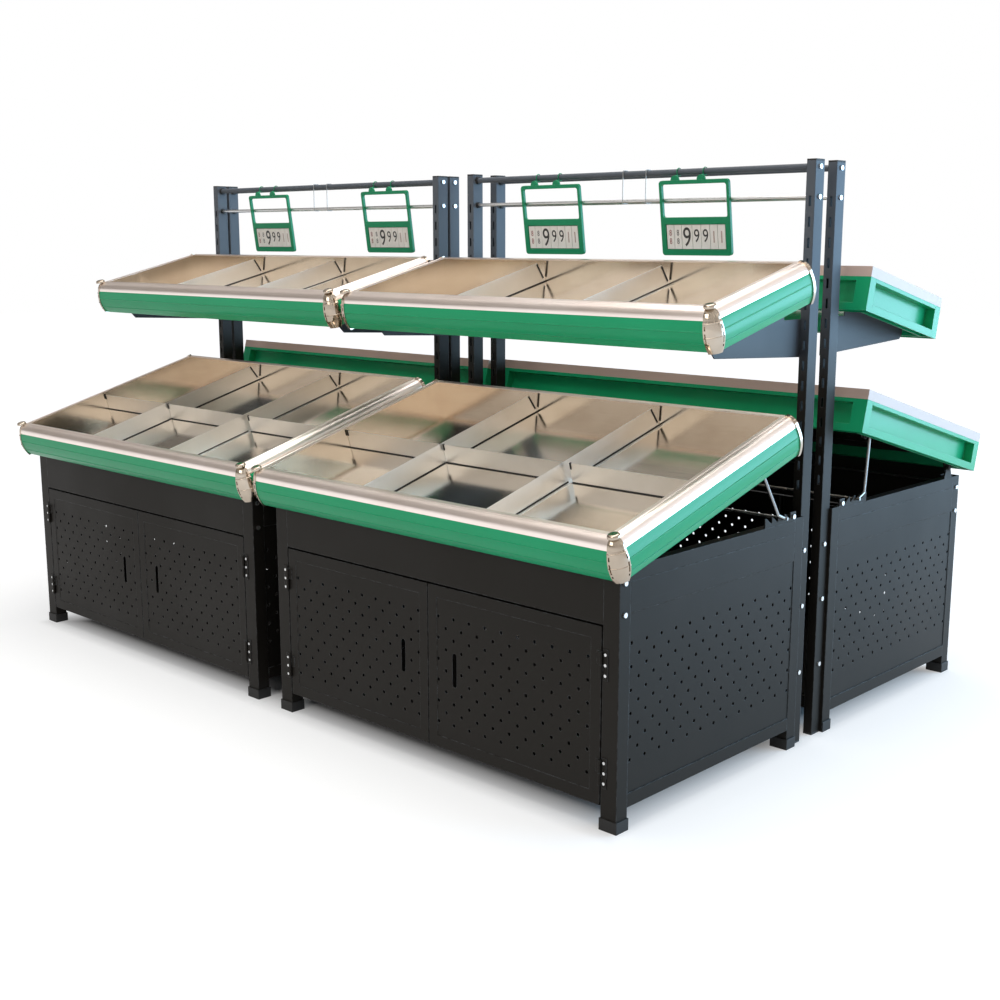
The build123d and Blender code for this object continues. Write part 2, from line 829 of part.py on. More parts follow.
# Right door of a rack with the upper halves of its lift-off hinges
with BuildPart() as right_door:
    door_width = door_outside - door_inside
    door_middle = (door_outside + door_inside) / 2
    door_height = door_top - door_low
    door_centre = (door_top + door_low) / 2
    with Locations((door_middle, front_face + door_depth / 2, door_centre)):
        Box(door_width, door_depth, door_height)
    with Locations((door_middle, front_face + door_depth / 2 + door_skin, door_centre)):
        Box(door_width - 2 * sheet, door_depth, door_height - 2 * sheet, mode=Mode.SUBTRACT)
    with Locations((door_middle, front_face, door_centre)):
        Box(door_width - 2 * door_border, 2 * door_emboss, door_height - 2 * door_border, mode=Mode.SUBTRACT)
    with BuildSketch(front_plane(front_face + door_depth)):
        handle_centre = door_centre + handle_rise
        door_columns = int((door_width - 2 * door_column_inset) / door_column_step) + 1
        door_rows = int((door_height - door_border - door_row_rise) / hole_pitch) + 1
        for column in range(door_columns):
            odd = column % 2
            x = door_column_inset + column * door_column_step
            low_row = door_low + door_row_rise + odd * hole_pitch / 2
            heights = [low_row + row * hole_pitch for row in range(door_rows - odd)]
            if abs(x - handle_offset) < handle_width:
                heights = [z for z in heights if abs(z - handle_centre) > handle_length / 2 + hole_radius]
            with Locations(*[(x, z) for z in heights]):
                Circle(hole_radius)
        with Locations((handle_offset, handle_centre)):
            SlotOverall(handle_length, handle_width, rotation=90)
    extrude(amount=door_depth, mode=Mode.SUBTRACT)
    for centre in hinge_heights:
        with Locations((hinge_x, hinge_y, centre + hinge_half / 2)):
            Cylinder(hinge_radius, hinge_half)
        leaf_middle = hinge_x - hinge_leaf_width / 2
        with Locations((leaf_middle, front_face - hinge_leaf / 2, centre + hinge_half / 2)):
            Box(hinge_leaf_width, hinge_leaf, hinge_half)
        with Locations((hinge_x, hinge_y, centre + hinge_half / 2)):
            Cylinder(hinge_pin + hinge_fit, hinge_half, mode=Mode.SUBTRACT)

with BuildPart() as left_door:
    add(mirror(right_door.part, about=Plane.YZ, mode=Mode.PRIVATE))

with BuildPart() as door_hinges:
    leaf_inside = hinge_x + hinge_radius + hinge_gap
    for centre in hinge_heights:
        with Locations((leaf_inside + hinge_leaf_width / 2, front_face - hinge_leaf / 2, centre)):
            Box(hinge_leaf_width, hinge_leaf, 2 * hinge_leaf_half)
        knuckle = hinge_half - hinge_gap
        with Locations((hinge_x, hinge_y, centre - hinge_gap - knuckle / 2)):
            Cylinder(hinge_radius, knuckle)
        with Locations(((hinge_x + leaf_inside) / 2, front_face - hinge_leaf / 2,
                        centre - hinge_gap - knuckle / 2)):
            Box(leaf_inside - hinge_x, hinge_leaf, knuckle)
        with Locations((hinge_x, hinge_y, centre + hinge_half / 2 - hinge_leaf)):
            Cylinder(hinge_pin, hinge_half)
    mirror(about=Plane.YZ)

with BuildPart() as uprights:
    tube_top = upright_top - plug_thickness
    tube_middle = (tube_top + plug_thickness) / 2
    upright_x = (upright_inside + upright_outside) / 2
    with Locations((upright_x, upright_middle, tube_middle)):
        Box(upright_width, upright_depth, tube_top - plug_thickness)
        Box(upright_width - 2 * upright_wall, upright_depth - 2 * upright_wall, tube_top - plug_thickness,
            mode=Mode.SUBTRACT)
    with BuildSketch(front_plane(upright_depth)):
        with Locations(*[(upright_x, slot_first + slot_pitch * n) for n in range(slot_count)]):
            Rectangle(slot_width, slot_height)
    extrude(amount=upright_depth, mode=Mode.SUBTRACT)
    mirror(about=Plane.YZ)

with BuildPart() as upright_plugs:
    plug_width = upright_width - 2 * upright_wall - 2 * plug_play
    plug_depth = upright_depth - 2 * upright_wall - 2 * plug_play
    for cap, stem in (
        (plug_thickness / 2, plug_thickness + plug_length / 2),
        (upright_top - plug_thickness / 2, tube_top - plug_length / 2),
    ):
        with Locations((upright_x, upright_middle, cap)):
            Box(upright_width, upright_depth, plug_thickness)
        with Locations((upright_x, upright_middle, stem)):
            Box(plug_width, plug_depth, plug_length)
    for height, radius in ((beam_height, beam_radius), (hanging_rail_height, hanging_rail_radius)):
        with BuildSketch(side_plane(upright_inside - bushing_width)):
            with Locations((upright_middle, height)):
                Circle(radius + bushing_rim)
                Circle(radius + plug_play, mode=Mode.SUBTRACT)
        extrude(amount=bushing_width)
    mirror(about=Plane.YZ)

with BuildPart() as top_beam:
    with BuildSketch(side_plane(-upright_inside)):
        with Locations((upright_middle, beam_height)):
            Circle(beam_radius)
            Circle(beam_radius - beam_wall, mode=Mode.SUBTRACT)
    extrude(amount=2 * upright_inside)

with BuildPart() as hanging_rail:
    with BuildSketch(side_plane(-upright_inside)):
        with Locations((upright_middle, hanging_rail_height)):
            Circle(hanging_rail_radius)
    extrude(amount=2 * upright_inside)

# Wire link with a hook over the beam and a hook under the rail
with BuildPart() as wire_hanger:
    link_top = beam_height + beam_radius + wire_radius
    link_low = hanging_rail_height - hanging_rail_radius - wire_radius
    link_front = upright_middle - beam_radius - wire_play - wire_radius
    link_rear = upright_middle + beam_radius + wire_play + wire_radius
    with BuildLine() as link:
        FilletPolyline(
            (0, link_rear, link_top - wire_hook),
            (0, link_rear, link_top),
            (0, link_front, link_top),
            (0, link_front, link_low),
            (0, link_rear, link_low),
            (0, link_rear, link_low + wire_hook),
            radius=2 * wire_radius,
        )
    with BuildSketch(Plane(link.line @ 0, z_dir=link.line % 0)):
        Circle(wire_radius)
    sweep()

# Toothed plates whose notches hold the cross rod of the prop
with BuildPart() as notched_racks:
    with BuildSketch(side_plane(half_length - rack_plate_thickness)):
        with BuildLine():
            Polyline(
                (rack_plate_front, cabinet_top),
                (-leg_depth, cabinet_top),
                (-leg_depth, rack_plate_top),
                (rack_plate_front, rack_plate_top),
                close=True,
            )
        make_face()
        seat = prop_rod + notch_play
        for notch in range(notch_count):
            y = notch_rear - notch * notch_pitch
            with Locations((y, prop_foot_height)):
                Circle(seat, mode=Mode.SUBTRACT)
            with BuildLine():
                Polyline(
                    (y + seat, prop_foot_height),
                    (y + seat, rack_plate_top + 1),
                    (y - notch_slope_run, rack_plate_top + 1),
                    (y - seat * 0.6, prop_foot_height - seat * 0.8),
                    close=True,
                )
            make_face(mode=Mode.SUBTRACT)
    extrude(amount=rack_plate_thickness)
    mirror(about=Plane.YZ)

# Price sign about the beam axis: an open window over a card field, two lugs and the rings round the beam
with BuildPart() as sign:
    sign_back = -hanging_rail_drop * sin(radians(sign_tilt)) - hanging_rail_radius - sign_rail_gap
    sign_middle = sign_back - sign_thickness / 2
    window_middle = -sign_drop - sign_top_bar - sign_window_height / 2
    card_top = -sign_drop - sign_top_bar - sign_window_height - sign_middle_bar
    card_middle = card_top - sign_card_height / 2
    sign_height = -sign_drop - card_top + sign_card_height + sign_bottom_bar
    with BuildSketch(front_plane(sign_back)):
        with Locations((0, -sign_drop - sign_height / 2)):
            RectangleRounded(sign_width, sign_height, sign_corner_radius)
        with Locations((0, window_middle)):
            RectangleRounded(sign_width - 2 * sign_side_bar, sign_window_height, sign_window_radius,
                             mode=Mode.SUBTRACT)
    extrude(amount=sign_thickness)
    with Locations((0, sign_back - sign_thickness, card_middle)):
        Box(sign_card_width, 2 * sign_card_depth, sign_card_height, mode=Mode.SUBTRACT)
    pocket = sign_thickness - sign_card_depth - sign_shell
    with Locations((0, sign_back, card_middle)):
        Box(sign_card_width, 2 * pocket, sign_card_height, mode=Mode.SUBTRACT)
    with BuildSketch(front_plane(sign_middle + sign_lug_thickness / 2)):
        with Locations(*[(x, -sign_drop) for x in sign_loops]):
            Circle(sign_lug_radius)
        with Locations((0, -sign_drop - sign_lug_root)):
            Rectangle(sign_width, 2 * sign_lug_radius, align=(Align.CENTER, Align.MAX), mode=Mode.SUBTRACT)
    extrude(amount=sign_lug_thickness)
    link_start = -sqrt(sign_loop_radius**2 - sign_link_drop**2)
    for x in sign_loops:
        with BuildSketch(Plane(origin=(x, 0, 0), x_dir=(1, 0, 0), z_dir=(0, 0, 1))):
            with Locations((0, -sign_loop_radius)):
                Circle(sign_loop_wire)
        revolve(axis=Axis((x, 0, 0), (1, 0, 0)))
        with BuildSketch(front_plane(link_start)):
            with Locations((x, -sign_link_drop)):
                Circle(sign_loop_wire)
        extrude(amount=link_start - sign_middle)

# Visible bolt and screw heads
with BuildPart() as bolts:
    upright_bolts = [(upright_middle, z) for z in (*upright_bolt_heights, hanging_rail_height, beam_height)]
    leg_bolts = [(front_face + leg_bolt_inset, z) for z in (panel_band_low, top_rail_low)]
    rack_bolt = (-leg_depth - rack_bolt_inset, (cabinet_top + rack_plate_top) / 2)
    for x, spots in ((upright_outside, upright_bolts), (half_length, [*leg_bolts, rack_bolt])):
        with BuildSketch(side_plane(x)):
            with Locations(*spots):
                Circle(bolt_radius)
        extrude(amount=bolt_height)
    with BuildSketch(front_plane(front_face - hinge_leaf)):
        for centre in hinge_heights:
            with Locations(*[(leaf_inside + hinge_leaf_width / 2, centre + n * hinge_screw_step)
                             for n in (-1, 0, 1)]):
                Circle(screw_radius)
    extrude(amount=screw_height)
    mirror(about=Plane.YZ)

front_lower_pan = make_pan(front_pan_length, front_lower_depth, front_pan_floor, 0)
front_lower_dividers = make_dividers(front_pan_length, front_lower_depth, front_pan_floor, 0, divider_top, 2)
front_lower_trim = make_front_trim(front_pan_length, front_lower_depth)
front_lower_bumper = make_bumper(front_pan_length, front_lower_depth)
front_lower_caps = make_corner_caps(front_pan_length, front_lower_depth)
front_underframe = make_underframe(
    front_lower, front_lower_depth, front_pan_floor, 0, front_hinge, front_prop_pivot
)
front_prop = make_prop(front_prop_pivot, front_prop_foot)

back_inner_depth = back_lower_depth - 2 * back_frame_thickness
back_lower_pan = make_pan(back_pan_length, back_inner_depth, back_pan_floor, back_frame_thickness)
back_lower_dividers = make_dividers(
    back_pan_length, back_inner_depth, back_pan_floor, back_frame_thickness, back_divider_drop, 2
)
back_lower_trim = make_back_trim(back_lower_depth)
back_lower_frame = make_back_frame(back_lower_depth)
back_underframe = make_underframe(
    back_lower, back_lower_depth, back_pan_floor, back_frame_thickness, back_hinge, back_prop_pivot
)
back_prop = make_prop(back_prop_pivot, back_prop_foot)

front_upper_pan = make_pan(front_pan_length, front_upper_depth, front_pan_floor, 0)
front_upper_dividers = make_dividers(front_pan_length, front_upper_depth, front_pan_floor, 0, divider_top, 1)
front_upper_trim = make_front_trim(front_pan_length, front_upper_depth)
front_upper_bumper = make_bumper(front_pan_length, front_upper_depth)
front_upper_caps = make_corner_caps(front_pan_length, front_upper_depth)
front_brackets = make_brackets(front_upper, front_pan_floor, front_bracket_front)
front_hinge_plates = make_hinge_plates(front_hinge)

back_upper_inner = back_upper_depth - 2 * back_frame_thickness
back_upper_pan = make_pan(back_pan_length, back_upper_inner, back_pan_floor, back_frame_thickness)
back_upper_dividers = make_dividers(
    back_pan_length, back_upper_inner, back_pan_floor, back_frame_thickness, back_divider_drop, 1
)
back_upper_trim = make_back_trim(back_upper_depth)
back_upper_frame = make_back_frame(back_upper_depth)
back_brackets = make_brackets(back_upper, back_pan_floor, back_bracket_front)
back_hinge_plates = make_hinge_plates(back_hinge)

# The rear faces of the front racks stand on one line, set so that the whole footprint is centred
front_reach = (front_lower.location * front_lower_caps.part).bounding_box().min.Y
back_reach = (back_lower.location * back_lower_frame.part).bounding_box().min.Y
trim_reach_back = (back_lower.location * back_lower_trim.part).bounding_box().min.Y
back_most = max(left_back_gap, right_back_gap) - min(back_reach, trim_reach_back)
front_line = -(front_reach + back_most) / 2
half_pitch = bay_pitch / 2
front_left = Location((-half_pitch, front_line, 0))
front_right = Location((half_pitch, front_line, 0))
back_left = Location((-half_pitch, front_line + left_back_gap, 0), (0, 0, 180))
back_right = Location((half_pitch, front_line + right_back_gap, 0), (0, 0, 180))
fronts = (front_left, front_right)
backs = (back_left, back_right)
racks = (*fronts, *backs)


def save(label, *placed):
    with BuildPart() as node:
        for piece, places in placed:
            with Locations(*places):
                add(piece.part, clean=False)
    node.part.label = label
    export_step(node.part, f"parts/{label}.step")


def on(places, plane):
    return [place * plane.location for place in places]


# Standing pieces, each kind in one group for all four racks
save("legs", (front_rack_legs, fronts), (back_rack_legs, backs))
save("feet", (feet, racks))
save("frame_rails", (rails, racks))
save("side_panels", (side_panels, racks))
save("fascia_panels", (fascia, fronts), (back_fascia, backs))
save("floor_pans", (floor_pan, racks))
save("door_hinges", (door_hinges, racks))
save("uprights", (uprights, racks))
save("upright_plugs", (upright_plugs, racks))
save("top_beams", (top_beam, racks))
save("hanging_rails", (hanging_rail, racks))
save("wire_hangers", (wire_hanger, [front_left * Location((x, 0, 0)) for x in front_left_wires]),
     (wire_hanger, [front_right * Location((x, 0, 0)) for x in front_right_wires]))
save("notched_racks", (notched_racks, racks))
save("bolts", (bolts, racks))
save("shelf_brackets", (front_brackets, fronts), (back_brackets, backs))
save("tray_hinge_plates", (front_hinge_plates, fronts), (back_hinge_plates, backs))
save("upper_pans", (front_upper_pan, on(fronts, front_upper)), (back_upper_pan, on(backs, back_upper)))
save("upper_dividers", (front_upper_dividers, on(fronts, front_upper)),
     (back_upper_dividers, on(backs, back_upper)))
save("upper_trims", (front_upper_trim, on(fronts, front_upper)), (back_upper_trim, on(backs, back_upper)))
save("upper_bumpers", (front_upper_bumper, on(fronts, front_upper)))
save("upper_frames", (back_upper_frame, on(backs, back_upper)))
save("upper_corner_caps", (front_upper_caps, on(fronts, front_upper)))

# Moving pieces of each rack
for name, place in (("front_left", front_left), ("front_right", front_right)):
    here = on([place], front_lower)
    save(f"{name}_tray_pan", (front_lower_pan, here))
    save(f"{name}_tray_dividers", (front_lower_dividers, here))
    save(f"{name}_tray_underframe", (front_underframe, here))
    save(f"{name}_tray_trim", (front_lower_trim, here))
    save(f"{name}_tray_bumper", (front_lower_bumper, here))
    save(f"{name}_tray_caps", (front_lower_caps, here))
    save(f"{name}_prop", (front_prop, [place]))

for name, place in (("back_left", back_left), ("back_right", back_right)):
    here = on([place], back_lower)
    save(f"{name}_tray_pan", (back_lower_pan, here))
    save(f"{name}_tray_dividers", (back_lower_dividers, here))
    save(f"{name}_tray_underframe", (back_underframe, here))
    save(f"{name}_tray_trim", (back_lower_trim, here))
    save(f"{name}_tray_frame", (back_lower_frame, here))
    save(f"{name}_prop", (back_prop, [place]))

for name, place in zip(("front_left", "front_right", "back_left", "back_right"), racks):
    save(f"{name}_left_door", (left_door, [place]))
    save(f"{name}_right_door", (right_door, [place]))

for name, place, offsets in (
    ("front_left", front_left, front_left_signs),
    ("front_right", front_right, front_right_signs),
):
    for side, x in zip(("left", "right"), offsets):
        hung = Location((x, upright_middle, beam_height), (sign_tilt, 0, 0))
        save(f"{name}_{side}_sign", (sign, [place * hung]))
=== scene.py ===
# %% [markdown]
# # A produce display island
# Four market racks stand back to back: two face the shopper, two face away. Each rack is a black
# perforated cabinet with a sloping steel tray on top, a second tray on two uprights, and a beam
# between them. Price signs hang from the front racks' beams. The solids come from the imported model
# and keep their places. This lesson gives them their finishes, adds the thin trim that a solid
# model leaves out, and sets up the picture.

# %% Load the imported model
import json
import math
from collections import namedtuple

import bpy
from mathutils import Matrix, Vector


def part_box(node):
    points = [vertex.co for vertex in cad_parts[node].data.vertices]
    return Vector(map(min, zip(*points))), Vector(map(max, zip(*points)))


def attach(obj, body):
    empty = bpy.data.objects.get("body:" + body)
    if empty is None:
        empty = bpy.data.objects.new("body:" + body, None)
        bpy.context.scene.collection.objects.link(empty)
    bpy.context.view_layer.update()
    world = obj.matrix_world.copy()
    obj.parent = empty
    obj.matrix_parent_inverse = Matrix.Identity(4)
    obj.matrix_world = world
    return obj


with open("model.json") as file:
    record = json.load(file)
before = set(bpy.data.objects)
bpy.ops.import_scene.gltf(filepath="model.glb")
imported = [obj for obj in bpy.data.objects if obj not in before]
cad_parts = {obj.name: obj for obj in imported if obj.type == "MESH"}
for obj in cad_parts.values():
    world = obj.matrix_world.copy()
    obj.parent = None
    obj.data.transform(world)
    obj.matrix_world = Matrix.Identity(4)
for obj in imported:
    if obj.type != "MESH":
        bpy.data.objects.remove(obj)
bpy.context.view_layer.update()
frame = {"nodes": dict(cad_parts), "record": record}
nodes = frame["nodes"]

# %% [markdown]
# ## Camera
# The picture was taken from the right front corner, a little below the top of the uprights and
# looking down by about eleven degrees. A camera can be set by eye, but then no edge can be compared.
# Here the place and the lens were worked out from the corners of the cabinets and trays, so the same
# corners land on the same spots of the picture.

# %% Set the camera
CAMERA_PLACE = (2.99346, -2.99194, 1.2967)
CAMERA_DIP = 10.9152
CAMERA_TURN = 43.5111
FOCAL_PIXELS = 1347.879
PICTURE_PIXELS = 1000
SENSOR_WIDTH = 36.0
camera = bpy.data.objects.new("camera", bpy.data.cameras.new("camera"))
bpy.context.scene.collection.objects.link(camera)
camera.location = CAMERA_PLACE
camera.rotation_euler = (math.radians(90 - CAMERA_DIP), 0, math.radians(CAMERA_TURN))
camera.data.sensor_width = SENSOR_WIDTH
camera.data.lens = FOCAL_PIXELS / PICTURE_PIXELS * SENSOR_WIDTH
camera.data.clip_end = 100
bpy.context.scene.camera = camera
bpy.context.scene.view_settings.view_transform = "Standard"
print("lens", round(camera.data.lens, 2), "mm")

# %% [markdown]
# ## Node helpers
# Every finish below is a small node tree. Written out in full, each node takes four or five lines,
# so short helpers keep the cells readable. Some add a node and fill its sockets, and the others start
# a material or a node group that several finishes share.


# %% Helpers for single nodes
def add_node(tree, kind, settings=None, **sockets):
    """Add a node. A socket is given by its name, or by its number after an underscore."""
    node = tree.nodes.new(kind)
    for name, value in (settings or {}).items():
        setattr(node, name, value)
    for name, value in sockets.items():
        key = int(name[1:]) if name[1:].isdigit() else name.replace("_", " ")
        if isinstance(value, bpy.types.NodeSocket):
            tree.links.new(value, node.inputs[key])
        else:
            node.inputs[key].default_value = value
    return node


def link(tree, source, target):
    tree.links.new(source, target)


def calculate(tree, operation, first, second=0.0):
    return add_node(tree, "ShaderNodeMath", {"operation": operation}, _0=first, _1=second).outputs[0]


def remap(tree, value, low, high, start=0.0, end=1.0):
    """Stretch a value between low and high to start and end, and stop there."""
    return add_node(tree, "ShaderNodeMapRange", Value=value, From_Min=low, From_Max=high,
                    To_Min=start, To_Max=end).outputs[0]


def mix_colours(tree, factor, first, second, blend="MIX"):
    return add_node(tree, "ShaderNodeMix", {"data_type": "RGBA", "blend_type": blend},
                    Factor=factor, _6=first, _7=second).outputs[2]


print("node helpers ready")


# %% Helpers for materials and groups
def start_material(name, **sockets):
    material = bpy.data.materials.new(name)
    material.use_nodes = True
    tree = material.node_tree
    shader = tree.nodes["Principled BSDF"]
    for socket, value in sockets.items():
        shader.inputs[socket.replace("_", " ")].default_value = value
    spot = add_node(tree, "ShaderNodeTexCoord").outputs["Object"]
    return material, tree, shader, spot


def start_group(name, inputs, outputs):
    group = bpy.data.node_groups.new(name, "ShaderNodeTree")
    for label, kind, value in inputs:
        socket = group.interface.new_socket(label, in_out="INPUT", socket_type=kind)
        if value is not None:
            socket.default_value = value
    for label, kind in outputs:
        group.interface.new_socket(label, in_out="OUTPUT", socket_type=kind)
    entry = group.nodes.new("NodeGroupInput").outputs
    leave = group.nodes.new("NodeGroupOutput").inputs
    return group, entry, leave


def use_group(tree, group, **sockets):
    return add_node(tree, "ShaderNodeGroup", {"node_tree": group}, **sockets).outputs


print("material helpers ready")

# %% [markdown]
# ## Floor, backdrop and light
# The racks stand on a plain white floor in front of a white backdrop. The floor could be lit until
# it burns out, but that would wash out the racks too. Instead the floor adds a little glow that only
# the camera and reflections see, so it stays white and still carries the shadow. Under the racks,
# where the floor lies in the dark, the glow fades out.

# %% Lay the floor
WHITE = (1, 1, 1, 1)
FLOOR_GREY = (0.6, 0.6, 0.6, 1)
FLOOR_SIZE = 40
GLOW_REACH = (1.6, 6.0)
GLOW_LEVEL = (0.58, 0.86)
SHADE_HALF = {"X": 1.22, "Y": 0.78}
SHADE_EDGE = (-0.08, 0.06)


def drop_selection():
    for thing in bpy.context.selected_objects:
        thing.select_set(False)


def seen_rays(tree, path):
    """1 for rays from the camera, from reflections and through glass, and 0 for the rest."""
    seen = calculate(tree, "MAXIMUM", path["Is Camera Ray"], path["Is Glossy Ray"])
    return calculate(tree, "MAXIMUM", seen, path["Is Transmission Ray"])


drop_selection()
bpy.ops.mesh.primitive_plane_add(size=FLOOR_SIZE, location=(0, 0, 0))
floor = bpy.context.object
floor.name = "floor"
floor_paint = bpy.data.materials.new("white_floor")
floor_paint.use_nodes = True
tree = floor_paint.node_tree
tree.nodes.clear()
spot = add_node(tree, "ShaderNodeTexCoord").outputs["Object"]
reach = add_node(tree, "ShaderNodeVectorMath", {"operation": "LENGTH"}, _0=spot).outputs["Value"]
axes = add_node(tree, "ShaderNodeSeparateXYZ", Vector=spot).outputs
past = []
for axis, half in SHADE_HALF.items():
    away = calculate(tree, "ABSOLUTE", axes[axis])
    past.append(calculate(tree, "SUBTRACT", away, half))
clear = remap(tree, calculate(tree, "MAXIMUM", *past), *SHADE_EDGE)
level = calculate(tree, "MULTIPLY", remap(tree, reach, *GLOW_REACH, *GLOW_LEVEL), clear)
matt = add_node(tree, "ShaderNodeBsdfDiffuse", Color=FLOOR_GREY).outputs[0]
glow = add_node(tree, "ShaderNodeEmission", Color=WHITE, Strength=level).outputs[0]
both = add_node(tree, "ShaderNodeAddShader", _0=matt, _1=glow).outputs[0]
seen = seen_rays(tree, add_node(tree, "ShaderNodeLightPath").outputs)
mixed = add_node(tree, "ShaderNodeMixShader", _0=seen, _1=matt, _2=both).outputs[0]
add_node(tree, "ShaderNodeOutputMaterial", Surface=mixed)
floor.data.materials.append(floor_paint)
print("floor laid,", FLOOR_SIZE, "m wide")

# %% [markdown]
# The camera sees a white backdrop everywhere. Reflections see it too, low down, where it shows in
# the picture. Higher up they see a room, bright on one side, dim on the other and patchy, because a
# steel pan that mirrors nothing but white looks like paper.

# %% Set the backdrop
BRIGHT_SIDE = (0.55, 0.25, 0.80)
SIDE_SPREAD = (-0.60, 0.60)
ROOM_DIM = (0.10, 0.082, 0.064, 1)
ROOM_BRIGHT = (1.0, 0.97, 0.93, 1)
PATCH_SHIFT = (0.4, 2.6, 5.2)
PATCH_SCALE = 9.0
PATCH_EDGES = (0.42, 0.58)
PATCH_LEVELS = (0.28, 1.50)
BACKDROP_TOP = (0.06, 0.16)
AMBIENT_COLOUR = (0.93, 0.95, 1, 1)
AMBIENT_LEVEL = 0.30
world = bpy.data.worlds.new("backdrop")
bpy.context.scene.world = world
world.use_nodes = True
tree = world.node_tree
tree.nodes.clear()
path = add_node(tree, "ShaderNodeLightPath").outputs
heading = add_node(tree, "ShaderNodeTexCoord").outputs["Generated"]
side = add_node(tree, "ShaderNodeVectorMath", {"operation": "DOT_PRODUCT"},
                _0=heading, _1=BRIGHT_SIDE).outputs["Value"]
room = mix_colours(tree, remap(tree, side, *SIDE_SPREAD), ROOM_DIM, ROOM_BRIGHT)
moved = add_node(tree, "ShaderNodeVectorMath", {"operation": "ADD"}, _0=heading, _1=PATCH_SHIFT).outputs[0]
patches = add_node(tree, "ShaderNodeTexNoise", Vector=moved, Scale=PATCH_SCALE, Detail=1.0).outputs["Fac"]
room = mix_colours(tree, 1.0, room, remap(tree, patches, *PATCH_EDGES, *PATCH_LEVELS), "MULTIPLY")
rise = add_node(tree, "ShaderNodeSeparateXYZ", Vector=heading).outputs["Z"]
mirrored = mix_colours(tree, remap(tree, rise, *BACKDROP_TOP), WHITE, room)
shown = mix_colours(tree, path["Is Camera Ray"], mirrored, WHITE)
ambient = add_node(tree, "ShaderNodeBackground", Color=AMBIENT_COLOUR, Strength=AMBIENT_LEVEL).outputs[0]
backdrop = add_node(tree, "ShaderNodeBackground", Color=shown, Strength=1.0).outputs[0]
mixed = add_node(tree, "ShaderNodeMixShader", _0=seen_rays(tree, path), _1=ambient, _2=backdrop).outputs[0]
add_node(tree, "ShaderNodeOutputWorld", Surface=mixed)
print("backdrop set")

# %% [markdown]
# Three wide lamps light the racks: a cool one from behind on the right, which tints the side panels,
# a neutral one overhead, and a weak warm one in front. Small lamps would be simpler to place, but
# they would draw hard shadows and tiny highlights.


# %% Hang the lamps
def hang_lamp(name, place, target, size, power, colour):
    lamp = bpy.data.objects.new(name, bpy.data.lights.new(name, "AREA"))
    bpy.context.scene.collection.objects.link(lamp)
    lamp.data.shape = "RECTANGLE"
    lamp.data.size, lamp.data.size_y = size
    lamp.data.energy = power
    lamp.data.color = colour
    lamp.location = place
    lamp.rotation_euler = (Vector(target) - Vector(place)).to_track_quat("-Z", "Y").to_euler()
    return lamp


lamps = [
    hang_lamp("window_right", place=(5.0, 4.2, 1.5), target=(0.8, 0, 0.6), size=(6.0, 3.0),
              power=480, colour=(0.40, 0.70, 1.0)),
    hang_lamp("ceiling", place=(0.3, 0.0, 4.6), target=(0, 0, 0.6), size=(4.5, 3.0),
              power=150, colour=(1.0, 0.98, 0.95)),
    hang_lamp("front_fill", place=(1.2, -6.0, 3.4), target=(0.2, 0, 0.7), size=(3.0, 2.4),
              power=90, colour=(1.0, 0.95, 0.9)),
]
print("lamps:", [lamp.name for lamp in lamps])

# %% [markdown]
# ## Shared surface effects
# Paint, plastic and metal all show the same kinds of marks: a fine grain in the surface, a slow
# drift of tone over a panel, and edges with a paler highlight painted on them. Each finish could hold
# its own copy of these nodes, but then a change has to be made many times. So each effect is one node
# group, placed in every finish with its own values.

# %% Grain
surface_grain, entry, leave = start_group(
    "surface_grain",
    [("Spot", "NodeSocketVector", None), ("Stretch", "NodeSocketVector", (1, 1, 1)),
     ("Scale", "NodeSocketFloat", 400.0), ("Detail", "NodeSocketFloat", 3.0)],
    [("Value", "NodeSocketFloat")],
)
stretched = add_node(surface_grain, "ShaderNodeVectorMath", {"operation": "MULTIPLY"},
                     _0=entry["Spot"], _1=entry["Stretch"]).outputs[0]
noise = add_node(surface_grain, "ShaderNodeTexNoise", Vector=stretched, Scale=entry["Scale"],
                 Detail=entry["Detail"], Roughness=0.55).outputs["Fac"]
link(surface_grain, noise, leave["Value"])
print("group:", surface_grain.name)

# %% Drift of tone
CLOUD_EDGES = (0.32, 0.68)
tone_drift, entry, leave = start_group(
    "tone_drift",
    [("Spot", "NodeSocketVector", None), ("Scale", "NodeSocketFloat", 3.0),
     ("First", "NodeSocketColor", (0.5, 0.5, 0.5, 1)), ("Second", "NodeSocketColor", (0.6, 0.6, 0.6, 1))],
    [("Colour", "NodeSocketColor"), ("Mask", "NodeSocketFloat")],
)
cloud = add_node(tone_drift, "ShaderNodeTexNoise", Vector=entry["Spot"], Scale=entry["Scale"],
                 Detail=4.0, Roughness=0.6).outputs["Fac"]
spread = remap(tone_drift, cloud, *CLOUD_EDGES)
link(tone_drift, mix_colours(tone_drift, spread, entry["First"], entry["Second"]), leave["Colour"])
link(tone_drift, spread, leave["Mask"])
print("group:", tone_drift.name)

# %% Edge highlights
EDGE_TURN = (0.99, 0.80)
HIGHLIGHT_BREAKUP_SCALE = 60.0
HIGHLIGHT_BREAKUP_EDGES = (0.35, 0.65)
edge_highlight, entry, leave = start_group(
    "edge_highlight",
    [("Spot", "NodeSocketVector", None), ("Radius", "NodeSocketFloat", 0.003),
     ("Amount", "NodeSocketFloat", 1.0)],
    [("Mask", "NodeSocketFloat"), ("Normal", "NodeSocketVector")],
)
